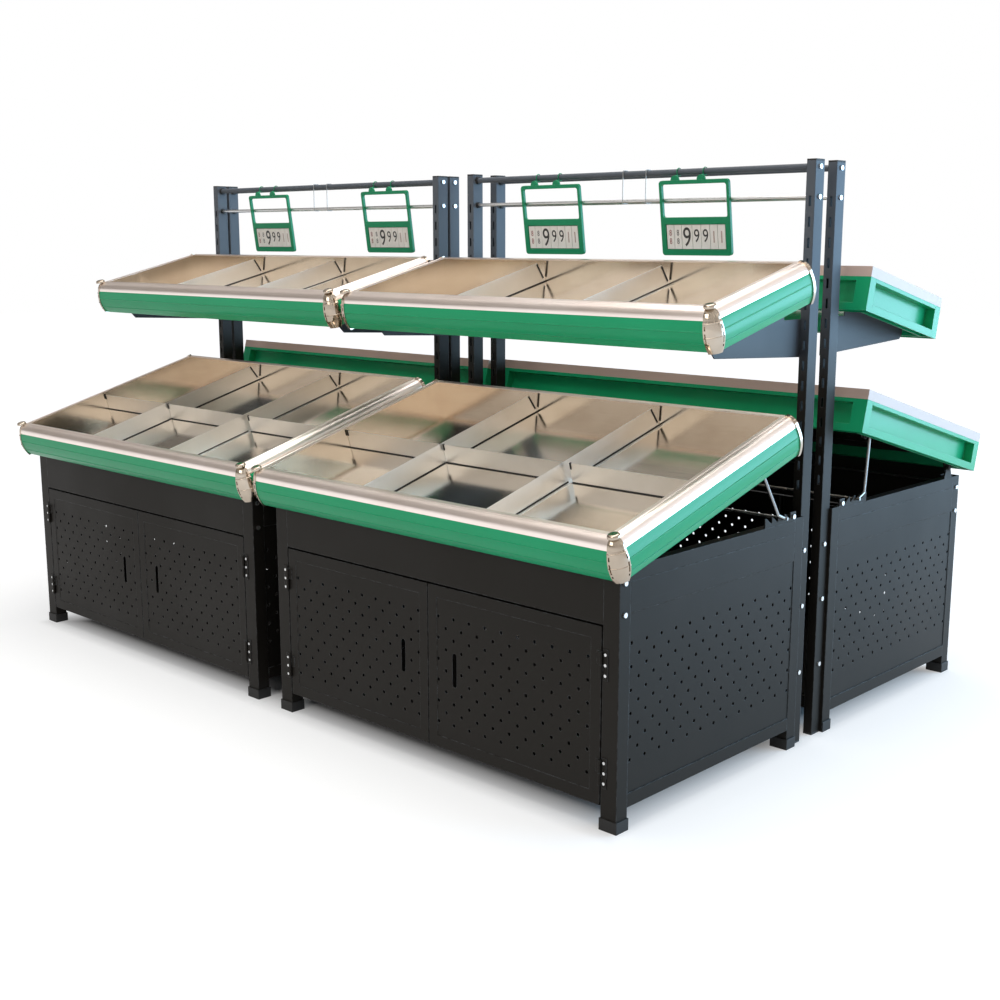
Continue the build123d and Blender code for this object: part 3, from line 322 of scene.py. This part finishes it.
# Near an edge the rounded normal turns away from the plain one.
rounded = add_node(edge_highlight, "ShaderNodeBevel", {"samples": 4}, Radius=entry["Radius"]).outputs[0]
plain = add_node(edge_highlight, "ShaderNodeNewGeometry").outputs["Normal"]
agree = add_node(edge_highlight, "ShaderNodeVectorMath", {"operation": "DOT_PRODUCT"},
                 _0=rounded, _1=plain).outputs["Value"]
breakup = add_node(edge_highlight, "ShaderNodeTexNoise", Vector=entry["Spot"], Scale=HIGHLIGHT_BREAKUP_SCALE,
                   Detail=3.0).outputs["Fac"]
# The mask paints a paler highlight along the edges, broken up by noise.
highlit = calculate(edge_highlight, "MULTIPLY", remap(edge_highlight, agree, *EDGE_TURN),
                 remap(edge_highlight, breakup, *HIGHLIGHT_BREAKUP_EDGES))
link(edge_highlight, calculate(edge_highlight, "MULTIPLY", highlit, entry["Amount"]), leave["Mask"])
link(edge_highlight, rounded, leave["Normal"])
print("group:", edge_highlight.name)

# %% [markdown]
# ## Black coat
# Cabinets, uprights and brackets are folded steel with a baked black powder coat. Close up it has
# a fine orange-peel grain, it is satin rather than glossy, and its folded edges catch the light. One
# flat black would hide the folds, so a grain feeds the bump and a paler highlight is painted on the
# edges. The feet, plugs and seals are black plastic, made the same way with other values.


# %% Powder coat and plastic
def make_coat(name, first, second, edge, rough, grain_scale, specular):
    material, tree, shader, spot = start_material(name, Specular_IOR_Level=specular)
    drift = use_group(tree, tone_drift, Spot=spot, Scale=2.2, First=first, Second=second)
    edge_light = use_group(tree, edge_highlight, Spot=spot, Radius=0.003, Amount=0.8)
    # The edge mask paints a paler highlight into the base colour.
    link(tree, mix_colours(tree, edge_light["Mask"], drift["Colour"], edge), shader.inputs["Base Color"])
    link(tree, remap(tree, drift["Mask"], 0.0, 1.0, *rough), shader.inputs["Roughness"])
    grain = use_group(tree, surface_grain, Spot=spot, Scale=grain_scale, Detail=2.0)["Value"]
    bump = add_node(tree, "ShaderNodeBump", Strength=0.12, Distance=0.0004, Height=grain,
                    Normal=edge_light["Normal"]).outputs[0]
    link(tree, bump, shader.inputs["Normal"])
    return material, shader


# The edge colours are painted highlights: pale on the coat, faint on the plastic.
black_coat, shader = make_coat(
    "black_coat", first=(0.0060, 0.0050, 0.0040, 1), second=(0.0090, 0.0078, 0.0064, 1),
    edge=(0.16, 0.17, 0.18, 1), rough=(0.48, 0.60), grain_scale=420.0, specular=0.21)
shader.inputs["Specular Tint"].default_value = (1.0, 0.94, 0.86, 1)
black_plastic, shader = make_coat(
    "black_plastic", first=(0.015, 0.0145, 0.014, 1), second=(0.022, 0.021, 0.02, 1),
    edge=(0.04, 0.04, 0.04, 1), rough=(0.5, 0.65), grain_scale=800.0, specular=0.35)
print("coats:", black_coat.name, black_plastic.name)

# %% [markdown]
# Up high the coat is paler: a bluish grey sheen is painted on the uprights, beams and brackets, for
# the bright room that they mirror up there. A second material would leave a hard line on the uprights,
# so a mask that rises with height blends the painted sheen in. A second mask, along another axis,
# serves the trim further on.

# %% Paint a sheen on the tops
SHEEN_FROM = 0.94
SHEEN_TO = 1.16
PAINTED_SHEEN_GREY = (0.100, 0.115, 0.135, 1)


def mask_along(material, axis, low, high):
    """A mask that rises from 0 to 1 between two places along one axis of the object."""
    tree = material.node_tree
    spot = add_node(tree, "ShaderNodeTexCoord").outputs["Object"]
    place = add_node(tree, "ShaderNodeSeparateXYZ", Vector=spot).outputs[axis]
    return remap(tree, place, low, high)


def blend_in(material, mask, socket, value):
    """Blend another value into one input of a finish, as far as the mask goes."""
    tree = material.node_tree
    entry = tree.nodes["Principled BSDF"].inputs[socket]
    link(tree, mix_colours(tree, mask, entry.links[0].from_socket, value), entry)


# Painted sheen: the coat is lightened with height, for the light that the upper parts catch.
painted_sheen = mask_along(black_coat, "Z", SHEEN_FROM, SHEEN_TO)
blend_in(black_coat, painted_sheen, "Base Color", PAINTED_SHEEN_GREY)
print("coat greyed from", SHEEN_FROM, "to", SHEEN_TO, "m up")

# %% [markdown]
# ## Brushed steel and bright metal
# The pans and dividers are brushed stainless sheet: the brushing runs along the tray, so the
# reflections smear across it. An anisotropic shader smears them too, but a grain that is stretched
# one way and feeds roughness and bump can be baked. The corner caps are chromed, the bolts are zinc
# plated, and the trim is satin aluminium.


# %% Metals
def make_metal(name, first, second, rough, stretch, streak_scale, bump_strength):
    material, tree, shader, spot = start_material(name, Metallic=1.0)
    drift = use_group(tree, tone_drift, Spot=spot, Scale=5.0, First=first, Second=second)
    link(tree, drift["Colour"], shader.inputs["Base Color"])
    streak = use_group(tree, surface_grain, Spot=spot, Stretch=stretch, Scale=streak_scale,
                       Detail=3.0)["Value"]
    link(tree, remap(tree, streak, 0.3, 0.7, *rough), shader.inputs["Roughness"])
    bump = add_node(tree, "ShaderNodeBump", Strength=bump_strength, Distance=0.0003,
                    Height=streak).outputs[0]
    link(tree, bump, shader.inputs["Normal"])
    return material


stainless = make_metal(
    "brushed_stainless", first=(0.76, 0.66, 0.55, 1), second=(0.86, 0.77, 0.66, 1),
    rough=(0.11, 0.16), stretch=(0.04, 1, 1), streak_scale=240.0, bump_strength=0.002)
# The dividers' steel is their own satin finish, painted paler and cooler as a highlight for the light
# their faces catch.
lit_divider_steel = make_metal(
    "satin_divider_lit", first=(0.90, 0.89, 0.86, 1), second=(0.97, 0.96, 0.94, 1),
    rough=(0.32, 0.42), stretch=(1, 0.05, 1), streak_scale=500.0, bump_strength=0.006)
trim_metal = make_metal(
    "satin_trim", first=(0.88, 0.77, 0.71, 1), second=(0.93, 0.83, 0.78, 1),
    rough=(0.28, 0.36), stretch=(0.03, 0.03, 1), streak_scale=300.0, bump_strength=0.003)
chrome_caps = make_metal(
    "chrome_caps", first=(0.40, 0.33, 0.26, 1), second=(0.56, 0.49, 0.41, 1),
    rough=(0.07, 0.16), stretch=(1, 1, 1), streak_scale=90.0, bump_strength=0.10)
bright_steel = make_metal(
    "bright_steel", first=(0.26, 0.26, 0.26, 1), second=(0.36, 0.36, 0.35, 1),
    rough=(0.24, 0.38), stretch=(0.1, 1, 1), streak_scale=500.0, bump_strength=0.05)
zinc = make_metal(
    "zinc_plate", first=(0.62, 0.62, 0.62, 1), second=(0.74, 0.74, 0.74, 1),
    rough=(0.25, 0.45), stretch=(1, 1, 1), streak_scale=300.0, bump_strength=0.08)
print("metals:", [m.name for m in (stainless, lit_divider_steel, trim_metal, chrome_caps, bright_steel, zinc)])

# %% [markdown]
# The back racks' trim is painted. All the trim is one finish in the model's record, and the back
# racks stand past the middle line, so a mask along Y tells the two apart.

# %% Paint the trim of the back racks
MIDDLE_LINE = (-0.01, 0.01)
TRIM_PAINT = (0.64, 0.47, 0.40, 1)
PAINT_ROUGH = (0.5, 0.5, 0.5, 1)
PAINT_METALLIC = 0.1
painted = mask_along(trim_metal, "Y", *MIDDLE_LINE)
blend_in(trim_metal, painted, "Base Color", TRIM_PAINT)
blend_in(trim_metal, painted, "Roughness", PAINT_ROUGH)
tree = trim_metal.node_tree
shine = remap(tree, painted, 0.0, 1.0, 1.0, PAINT_METALLIC)
link(tree, shine, tree.nodes["Principled BSDF"].inputs["Metallic"])
print("painted:", trim_metal.name)

# %% [markdown]
# ## Green plastic
# The bumpers and frames are extruded green plastic with a high gloss. A low roughness alone would
# give the gloss, but a thin clear coat keeps the highlight sharp over a softer colour, and a faint
# orange peel breaks it up close by. The sign frames are darker and duller.

# %% Glossy green
# Colour of the painted highlight on the green edges
GREEN_EDGE_HIGHLIGHT = (0.25, 0.6, 0.42, 1)


def make_green(name, first, second, rough, coat):
    material, tree, shader, spot = start_material(name, Coat_Roughness=0.06, Specular_IOR_Level=0.20)
    drift = use_group(tree, tone_drift, Spot=spot, Scale=1.6, First=first, Second=second)
    edge_light = use_group(tree, edge_highlight, Spot=spot, Radius=0.002, Amount=0.35)
    # The edge mask paints a pale green highlight along the edges.
    link(tree, mix_colours(tree, edge_light["Mask"], drift["Colour"], GREEN_EDGE_HIGHLIGHT), shader.inputs["Base Color"])
    peel = use_group(tree, surface_grain, Spot=spot, Scale=350.0, Detail=2.0)["Value"]
    link(tree, remap(tree, peel, 0.0, 1.0, rough - 0.03, rough + 0.05), shader.inputs["Roughness"])
    link(tree, remap(tree, drift["Mask"], 0.0, 1.0, coat, coat * 0.8), shader.inputs["Coat Weight"])
    bump = add_node(tree, "ShaderNodeBump", Strength=0.02, Distance=0.0003, Height=peel,
                    Normal=edge_light["Normal"]).outputs[0]
    link(tree, bump, shader.inputs["Normal"])
    return material


green_gloss = make_green(
    "green_gloss", first=(0.010, 0.38, 0.155, 1), second=(0.014, 0.43, 0.185, 1), rough=0.28, coat=0.10)
green_sign = make_green(
    "green_sign", first=(0.008, 0.24, 0.10, 1), second=(0.012, 0.28, 0.125, 1), rough=0.42, coat=0.06)
print("greens:", green_gloss.name, green_sign.name)

# %% [markdown]
# ## Dressing the solids
# The record of the imported model names a finish for each node, so the finishes are handed out by that
# name and not one by one. Two kinds of node differ from their record in the picture: the dividers
# get a paler copy of the steel, with a painted highlight for the light their faces catch, and the
# hanging rails are zinc plated.

# %% Dress the solids
finishes = {"black_coat": black_coat, "black_plastic": black_plastic, "stainless": stainless,
            "green_gloss": green_gloss, "trim_metal": trim_metal, "chrome_caps": chrome_caps,
            "bright_steel": bright_steel, "zinc": zinc, "green_sign": green_sign}
slots = {part["node"]: part["material_slot"] for part in frame["record"]["subparts"]}
for name, node in nodes.items():
    finish = finishes[slots[name]]
    # The paler divider steel carries a painted highlight.
    if name.endswith("dividers"):
        finish = lit_divider_steel
    if name == "hanging_rails":
        finish = zinc
    node.data.materials.clear()
    node.data.materials.append(finish)
print("dressed", len(nodes), "nodes")

# %% [markdown]
# ## Tools for the small pieces
# The small black and white pieces below all start as boxes. Their meshes could be typed in corner by
# corner, but it is easier to follow as by hand: a box is added at its size and place, a face or an
# edge of it is picked by where it points, and edit mode shapes it. What repeats is made once, joined,
# and then copied to each tray or sign, with its place written into its mesh.

# %% Helpers for shaping a box
MM = 0.001
SAME_WAY = 0.9
SINK_TAPER = 0.05


def apply_place():
    bpy.ops.object.transform_apply(location=True, rotation=True, scale=True)


def add_block(low, high):
    drop_selection()
    middle = [(a + b) / 2 * MM for a, b in zip(low, high)]
    size = [(b - a) * MM for a, b in zip(low, high)]
    bpy.ops.mesh.primitive_cube_add(size=1, location=middle, scale=size)
    apply_place()
    return bpy.context.object


def clear_picks(kind):
    bpy.ops.object.mode_set(mode="EDIT")
    bpy.ops.mesh.select_mode(type=kind)
    bpy.ops.mesh.select_all(action="DESELECT")
    bpy.ops.object.mode_set(mode="OBJECT")


def sink_face(block, facing, border, depth):
    """Leave a border around the face that points one way, and sink what is inside it."""
    clear_picks("FACE")
    for face in block.data.polygons:
        face.select = face.normal.dot(Vector(facing)) > SAME_WAY
    bpy.ops.object.mode_set(mode="EDIT")
    bpy.ops.mesh.inset(thickness=border * MM)
    bpy.ops.mesh.inset(thickness=SINK_TAPER * MM, depth=-depth * MM)
    bpy.ops.object.mode_set(mode="OBJECT")


def round_edge(block, corner, reach, steps):
    """Round the one edge that lies furthest towards a corner."""
    clear_picks("EDGE")
    spots = [vertex.co for vertex in block.data.vertices]
    ends = {edge: spots[edge.vertices[0]] + spots[edge.vertices[1]] for edge in block.data.edges}
    max(ends, key=lambda edge: ends[edge].dot(Vector(corner))).select = True
    bpy.ops.object.mode_set(mode="EDIT")
    bpy.ops.mesh.bevel(offset=reach * MM, segments=steps)
    bpy.ops.object.mode_set(mode="OBJECT")


def soften(block, width):
    bevel = block.modifiers.new("soft_edges", "BEVEL")
    bevel.width = width * MM
    bevel.segments = 2
    bpy.ops.object.modifier_apply(modifier=bevel.name)


print("shaping helpers ready")


# %% Helpers for joining and copying
def join_blocks(blocks):
    drop_selection()
    for block in blocks:
        block.select_set(True)
    bpy.context.view_layer.objects.active = blocks[0]
    bpy.ops.object.join()
    return bpy.context.object


def set_copy(master, name, place, body):
    """Copy a piece to its place and let it ride on a body."""
    piece = master.copy()
    piece.data = master.data.copy()
    piece.name = name
    bpy.context.scene.collection.objects.link(piece)
    drop_selection()
    piece.select_set(True)
    bpy.context.view_layer.objects.active = piece
    piece.matrix_world = place
    apply_place()
    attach(piece, body)
    return piece


print("copying helpers ready")

# %% [markdown]
# ## Divider shade strips
# The dividers stand loose in the pans. Black beads along their feet, a grooved black clip on each
# sloping rear edge and a small black clip over each cross divider paint the dark shadow lines at the
# dividers' feet and ends. Each bead is a thin bar with one long edge rounded over. They could
# be built in place on each slope, but it is simpler to draw them flat, in the plane of a tray, and
# then tilt them with it. All sizes are in millimetres, as in the solid model.

# %% Sizes of the trays
SHEET = 1.5
PAN_GAP = 1.0
DIVIDER_OFFSET = 216.0
DIVIDER_FOOT = 12.0
DIVIDER_SLOPE = 22.0
CROSS_SHARE = 0.45
CROSS_DROP = 4.0
RACK_OFFSET = 655
REAR_LINE = -47.3356
LEFT_GAP = 90
RIGHT_GAP = 140
# Each rack: the middle of its rear line, and its turn
RACKS = {"front_left": (-RACK_OFFSET, REAR_LINE, 0), "front_right": (RACK_OFFSET, REAR_LINE, 0),
         "back_left": (-RACK_OFFSET, REAR_LINE + LEFT_GAP, 180),
         "back_right": (RACK_OFFSET, REAR_LINE + RIGHT_GAP, 180)}
# Front and rear are the (y, z) of a tray's upper edges, floor is the pan's depth, drop is how far
# the dividers stay below the rim, and rows counts the cells from front to rear.
Tray = namedtuple("Tray", "front rear length floor inset drop rows")
TRAYS = {
    ("front", "lower"): Tray((-778.5, 689.4), (-116.6, 879.5), 1219, 65, 0, 8, rows=2),
    ("back", "lower"): Tray((-757.3, 735.6), (-73.6, 920.4), 1240, 80, 30, 20, rows=2),
    ("front", "upper"): Tray((-454.8, 1153.4), (-83.9, 1246.1), 1219, 65, 0, 8, rows=1),
    ("back", "upper"): Tray((-451.5, 1140.6), (-57.1, 1232.5), 1240, 80, 30, 20, rows=1),
}


def tray_place(rack, tray):
    """Put a flat tray drawing on its slope and its rack."""
    x, y, turn = RACKS[rack]
    stand = Matrix.Translation((x * MM, y * MM, 0)) @ Matrix.Rotation(math.radians(turn), 4, "Z")
    edge = Matrix.Translation((0, tray.front[0] * MM, tray.front[1] * MM))
    slope = math.atan2(tray.rear[1] - tray.front[1], tray.rear[0] - tray.front[0])
    return stand @ edge @ Matrix.Rotation(slope, 4, "X")


print(len(TRAYS), "kinds of tray on", len(RACKS), "racks")

# %% Beads and clips
SKIN = 0.1
BEAD = 2.6
BEAD_ROUND = 0.8
BEAD_STEPS = 4
CLIP_HALF = 2.0
CLIP_REACH = (-4, 1.2)
CLIP_SPAN = (0.18, 0.97)
CLIP_LIP = 1.1
CLIP_GROOVE = 3.5
CLIP_SOFT = 0.4
HOOK_SPAN = (1, 5)
HOOK_HALF = 2.6
HOOK_DROP = 16
HOOK_RISE = 1
HOOK_LIP = 0.8
HOOK_GROOVE = 0.6
HOOK_SOFT = 0.5


def add_bead(low, high, corner):
    bead = add_block(low, high)
    round_edge(bead, corner, BEAD * BEAD_ROUND, BEAD_STEPS)
    return bead


def edge_clip(x, rear_end, tray):
    """A grooved clip along the sloping rear edge of a long divider."""
    rise = tray.floor - SHEET - tray.drop
    long = math.hypot(DIVIDER_SLOPE, rise)
    clip = add_block((x - CLIP_HALF, CLIP_REACH[0], long * CLIP_SPAN[0]),
                     (x + CLIP_HALF, CLIP_REACH[1], long * CLIP_SPAN[1]))
    sink_face(clip, (0, -1, 0), CLIP_LIP, CLIP_GROOVE)
    soften(clip, CLIP_SOFT)
    lean = Matrix.Rotation(math.atan2(DIVIDER_SLOPE, rise), 4, "X")
    clip.matrix_world = Matrix.Translation((0, rear_end * MM, (SHEET - tray.floor) * MM)) @ lean
    apply_place()
    return clip


def cross_hook(x, cross, top):
    """A small clip over the upper edge of a cross divider."""
    hook = add_block((x + HOOK_SPAN[0], cross - HOOK_HALF, top - HOOK_DROP),
                     (x + HOOK_SPAN[1], cross + HOOK_HALF, top + HOOK_RISE))
    sink_face(hook, (0, 0, 1), HOOK_LIP, HOOK_GROOVE)
    soften(hook, HOOK_SOFT)
    return hook


print("bead", BEAD, "mm wide")

# %% Shade strips of one tray
CROSS_STOP = 2
FOOT_STOP = 1


def long_shade_strips(tray, cross, front_end, rear_end):
    runs = [(front_end, rear_end)]
    if tray.rows == 2:
        runs = [(front_end, cross - BEAD - CROSS_STOP), (cross + DIVIDER_FOOT + FOOT_STOP, rear_end)]
    blocks = []
    # The right divider's foot lies under its bead, so that bead sits one sheet higher.
    for side, base in ((-1, SKIN - tray.floor), (1, SHEET + SKIN - tray.floor)):
        face = side * DIVIDER_OFFSET + SHEET / 2 + SKIN
        for start, end in runs:
            blocks.append(add_bead((face, start, base), (face + BEAD, end, base + BEAD), (1, 0, 1)))
        blocks.append(edge_clip(side * DIVIDER_OFFSET, rear_end, tray))
    return blocks


def cross_shade_strips(tray, cross):
    wall = tray.length / 2 - SHEET - PAN_GAP
    near = DIVIDER_OFFSET - SHEET - PAN_GAP
    far = DIVIDER_OFFSET + DIVIDER_FOOT + PAN_GAP
    face = cross - SHEET / 2 - SKIN
    base = SKIN - tray.floor
    blocks = []
    for low, high in ((-wall, -far), (-near, near), (far, wall)):
        blocks.append(add_bead((low, face - BEAD, base), (high, face, base + BEAD), (0, -1, 1)))
        blocks.append(cross_hook(low, cross, -tray.drop - CROSS_DROP))
    return blocks


def tray_shade_strips(tray):
    slant = math.hypot(tray.rear[0] - tray.front[0], tray.rear[1] - tray.front[1])
    depth = slant - 2 * tray.inset
    cross = tray.inset + depth * CROSS_SHARE
    front_end = tray.inset + SHEET + PAN_GAP
    rear_end = tray.inset + depth - SHEET - PAN_GAP
    blocks = long_shade_strips(tray, cross, front_end, rear_end)
    if tray.rows == 2:
        blocks += cross_shade_strips(tray, cross)
    return join_blocks(blocks)


print("seals for", sum(tray.rows for tray in TRAYS.values()), "rows of cells")

# %% Lay the shade strips in the trays
for (row, level), tray in TRAYS.items():
    # Painted shade: the black beads, clips and hooks stand in for the dark shadow lines at the dividers'
    # feet and ends.
    master = tray_shade_strips(tray)
    master.data.materials.append(black_plastic)
    for rack in (row + "_left", row + "_right"):
        body = rack + "_tray" if level == "lower" else "stand"
        shade_strips = set_copy(master, rack + "_" + level + "_shade_strips", tray_place(rack, tray), body)
    bpy.data.objects.remove(master)
    print(row, level, "seals:", len(shade_strips.data.polygons), "faces")

# %% [markdown]
# ## Price cards
# Each sign holds a row of flip cards in a shallow pocket. They show plain numbers: two narrow cards
# with small figures, three wider ones for the price, and two narrow ones at the end. A card is a
# thin slab with a sunk face. A picture could carry the figures, but it would be a file of its own and
# blurred close up. So the figures are text turned into a mesh, because only a mesh can ride on the
# sign and be exported with it.


# %% Card finishes
def make_card(name, first, second):
    material, tree, shader, spot = start_material(name, Specular_IOR_Level=0.35)
    drift = use_group(tree, tone_drift, Spot=spot, Scale=25.0, First=first, Second=second)
    link(tree, drift["Colour"], shader.inputs["Base Color"])
    fibre = use_group(tree, surface_grain, Spot=spot, Scale=900.0, Detail=2.0)["Value"]
    link(tree, remap(tree, fibre, 0.0, 1.0, 0.45, 0.65), shader.inputs["Roughness"])
    bump = add_node(tree, "ShaderNodeBump", Strength=0.08, Distance=0.0002, Height=fibre).outputs[0]
    link(tree, bump, shader.inputs["Normal"])
    return material


card_white = make_card("card_white", (0.84, 0.81, 0.76, 1), (0.90, 0.87, 0.82, 1))
print_black = make_card("print_black", (0.03, 0.03, 0.03, 1), (0.06, 0.055, 0.05, 1))
print_red = make_card("print_red", (0.22, 0.035, 0.03, 1), (0.30, 0.05, 0.045, 1))
print_pale = make_card("print_pale", (0.42, 0.30, 0.27, 1), (0.50, 0.38, 0.34, 1))
print("card finishes:", [m.name for m in (card_white, print_black, print_red, print_pale)])

# %% Sizes of the cards
CARD_MIDDLE = -165.5
CARD_HEIGHT = 63.0
CARD_BACK = -21.42
CARD_FACE = -23.2
CARD_SPLIT = 1.3
CARD_BORDER = 1.0
CARD_SINK = 0.25
FIGURE_SINK = 0.1
FIGURE_NARROW = 0.8
# In the text's own units, before it is scaled to its height
FIGURE_DEPTH = 0.004


def small_pair(ink):
    return [("8", 15, 11, ink), ("8", 15, -11, ink)]


# Each card: its width, and its figures with their height, their rise over the middle and their ink
CARDS = [(24, small_pair(print_red)), (24, small_pair(print_black)),
         (34, [("9", 50, 0, print_black)]),
         (28, [("9", 34, 3, print_black)]), (28, [("9", 34, 3, print_black)]),
         (24, [("1", 30, 0, print_pale)]), (24, [("1", 30, 0, print_pale)])]
row_width = sum(width for width, marks in CARDS)
print(len(CARDS), "cards,", row_width, "mm in a row")


# %% Cards and figures of one sign
def add_figure(figure, height, x, z, ink):
    drop_selection()
    bpy.ops.object.text_add()
    text = bpy.context.object
    text.data.body = figure
    text.data.extrude = FIGURE_DEPTH
    bpy.ops.object.convert(target="MESH")
    piece = bpy.context.object
    corners = [Vector(corner) for corner in piece.bound_box]
    middle = sum(corners, Vector()) / 8
    size = height * MM / (max(c.y for c in corners) - min(c.y for c in corners))
    piece.data.materials.append(ink)
    piece.matrix_world = (Matrix.Translation((x * MM, (CARD_FACE + FIGURE_SINK) * MM, z * MM))
                          @ Matrix.Rotation(math.radians(90), 4, "X")
                          @ Matrix.Diagonal((size * FIGURE_NARROW, size, size, 1))
                          @ Matrix.Translation(-middle))
    apply_place()
    return piece


cards, figures = [], []
x = -row_width / 2
for width, marks in CARDS:
    card = add_block((x + CARD_SPLIT / 2, CARD_FACE, CARD_MIDDLE - CARD_HEIGHT / 2),
                     (x + width - CARD_SPLIT / 2, CARD_BACK, CARD_MIDDLE + CARD_HEIGHT / 2))
    sink_face(card, (0, -1, 0), CARD_BORDER, CARD_SINK)
    cards.append(card)
    for figure, height, rise, ink in marks:
        figures.append(add_figure(figure, height, x + width / 2, CARD_MIDDLE + rise, ink))
    x += width
print(len(cards), "cards,", len(figures), "figures")

# %% Hang the cards in the signs
BEAM_OFFSET = 20
BEAM_HEIGHT = 1472.0
SIGN_TILT = 8.0
card_row = join_blocks(cards)
card_row.data.materials.append(card_white)
figure_row = join_blocks(figures)
for rack in ("front_left", "front_right"):
    for side in ("left", "right"):
        sign = rack + "_" + side + "_sign"
        low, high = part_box(sign)
        middle = (low[0] + high[0]) / 2
        place = (Matrix.Translation((middle, (REAR_LINE + BEAM_OFFSET) * MM, BEAM_HEIGHT * MM))
                 @ Matrix.Rotation(math.radians(SIGN_TILT), 4, "X"))
        set_copy(card_row, sign + "_cards", place, sign)
        set_copy(figure_row, sign + "_figures", place, sign)
bpy.data.objects.remove(card_row)
bpy.data.objects.remove(figure_row)
print("cards hung in four signs")

# %% [markdown]
# ## Sizes
# Nothing that this lesson adds reaches past the solids.

# %% Finish
print("scene ready")
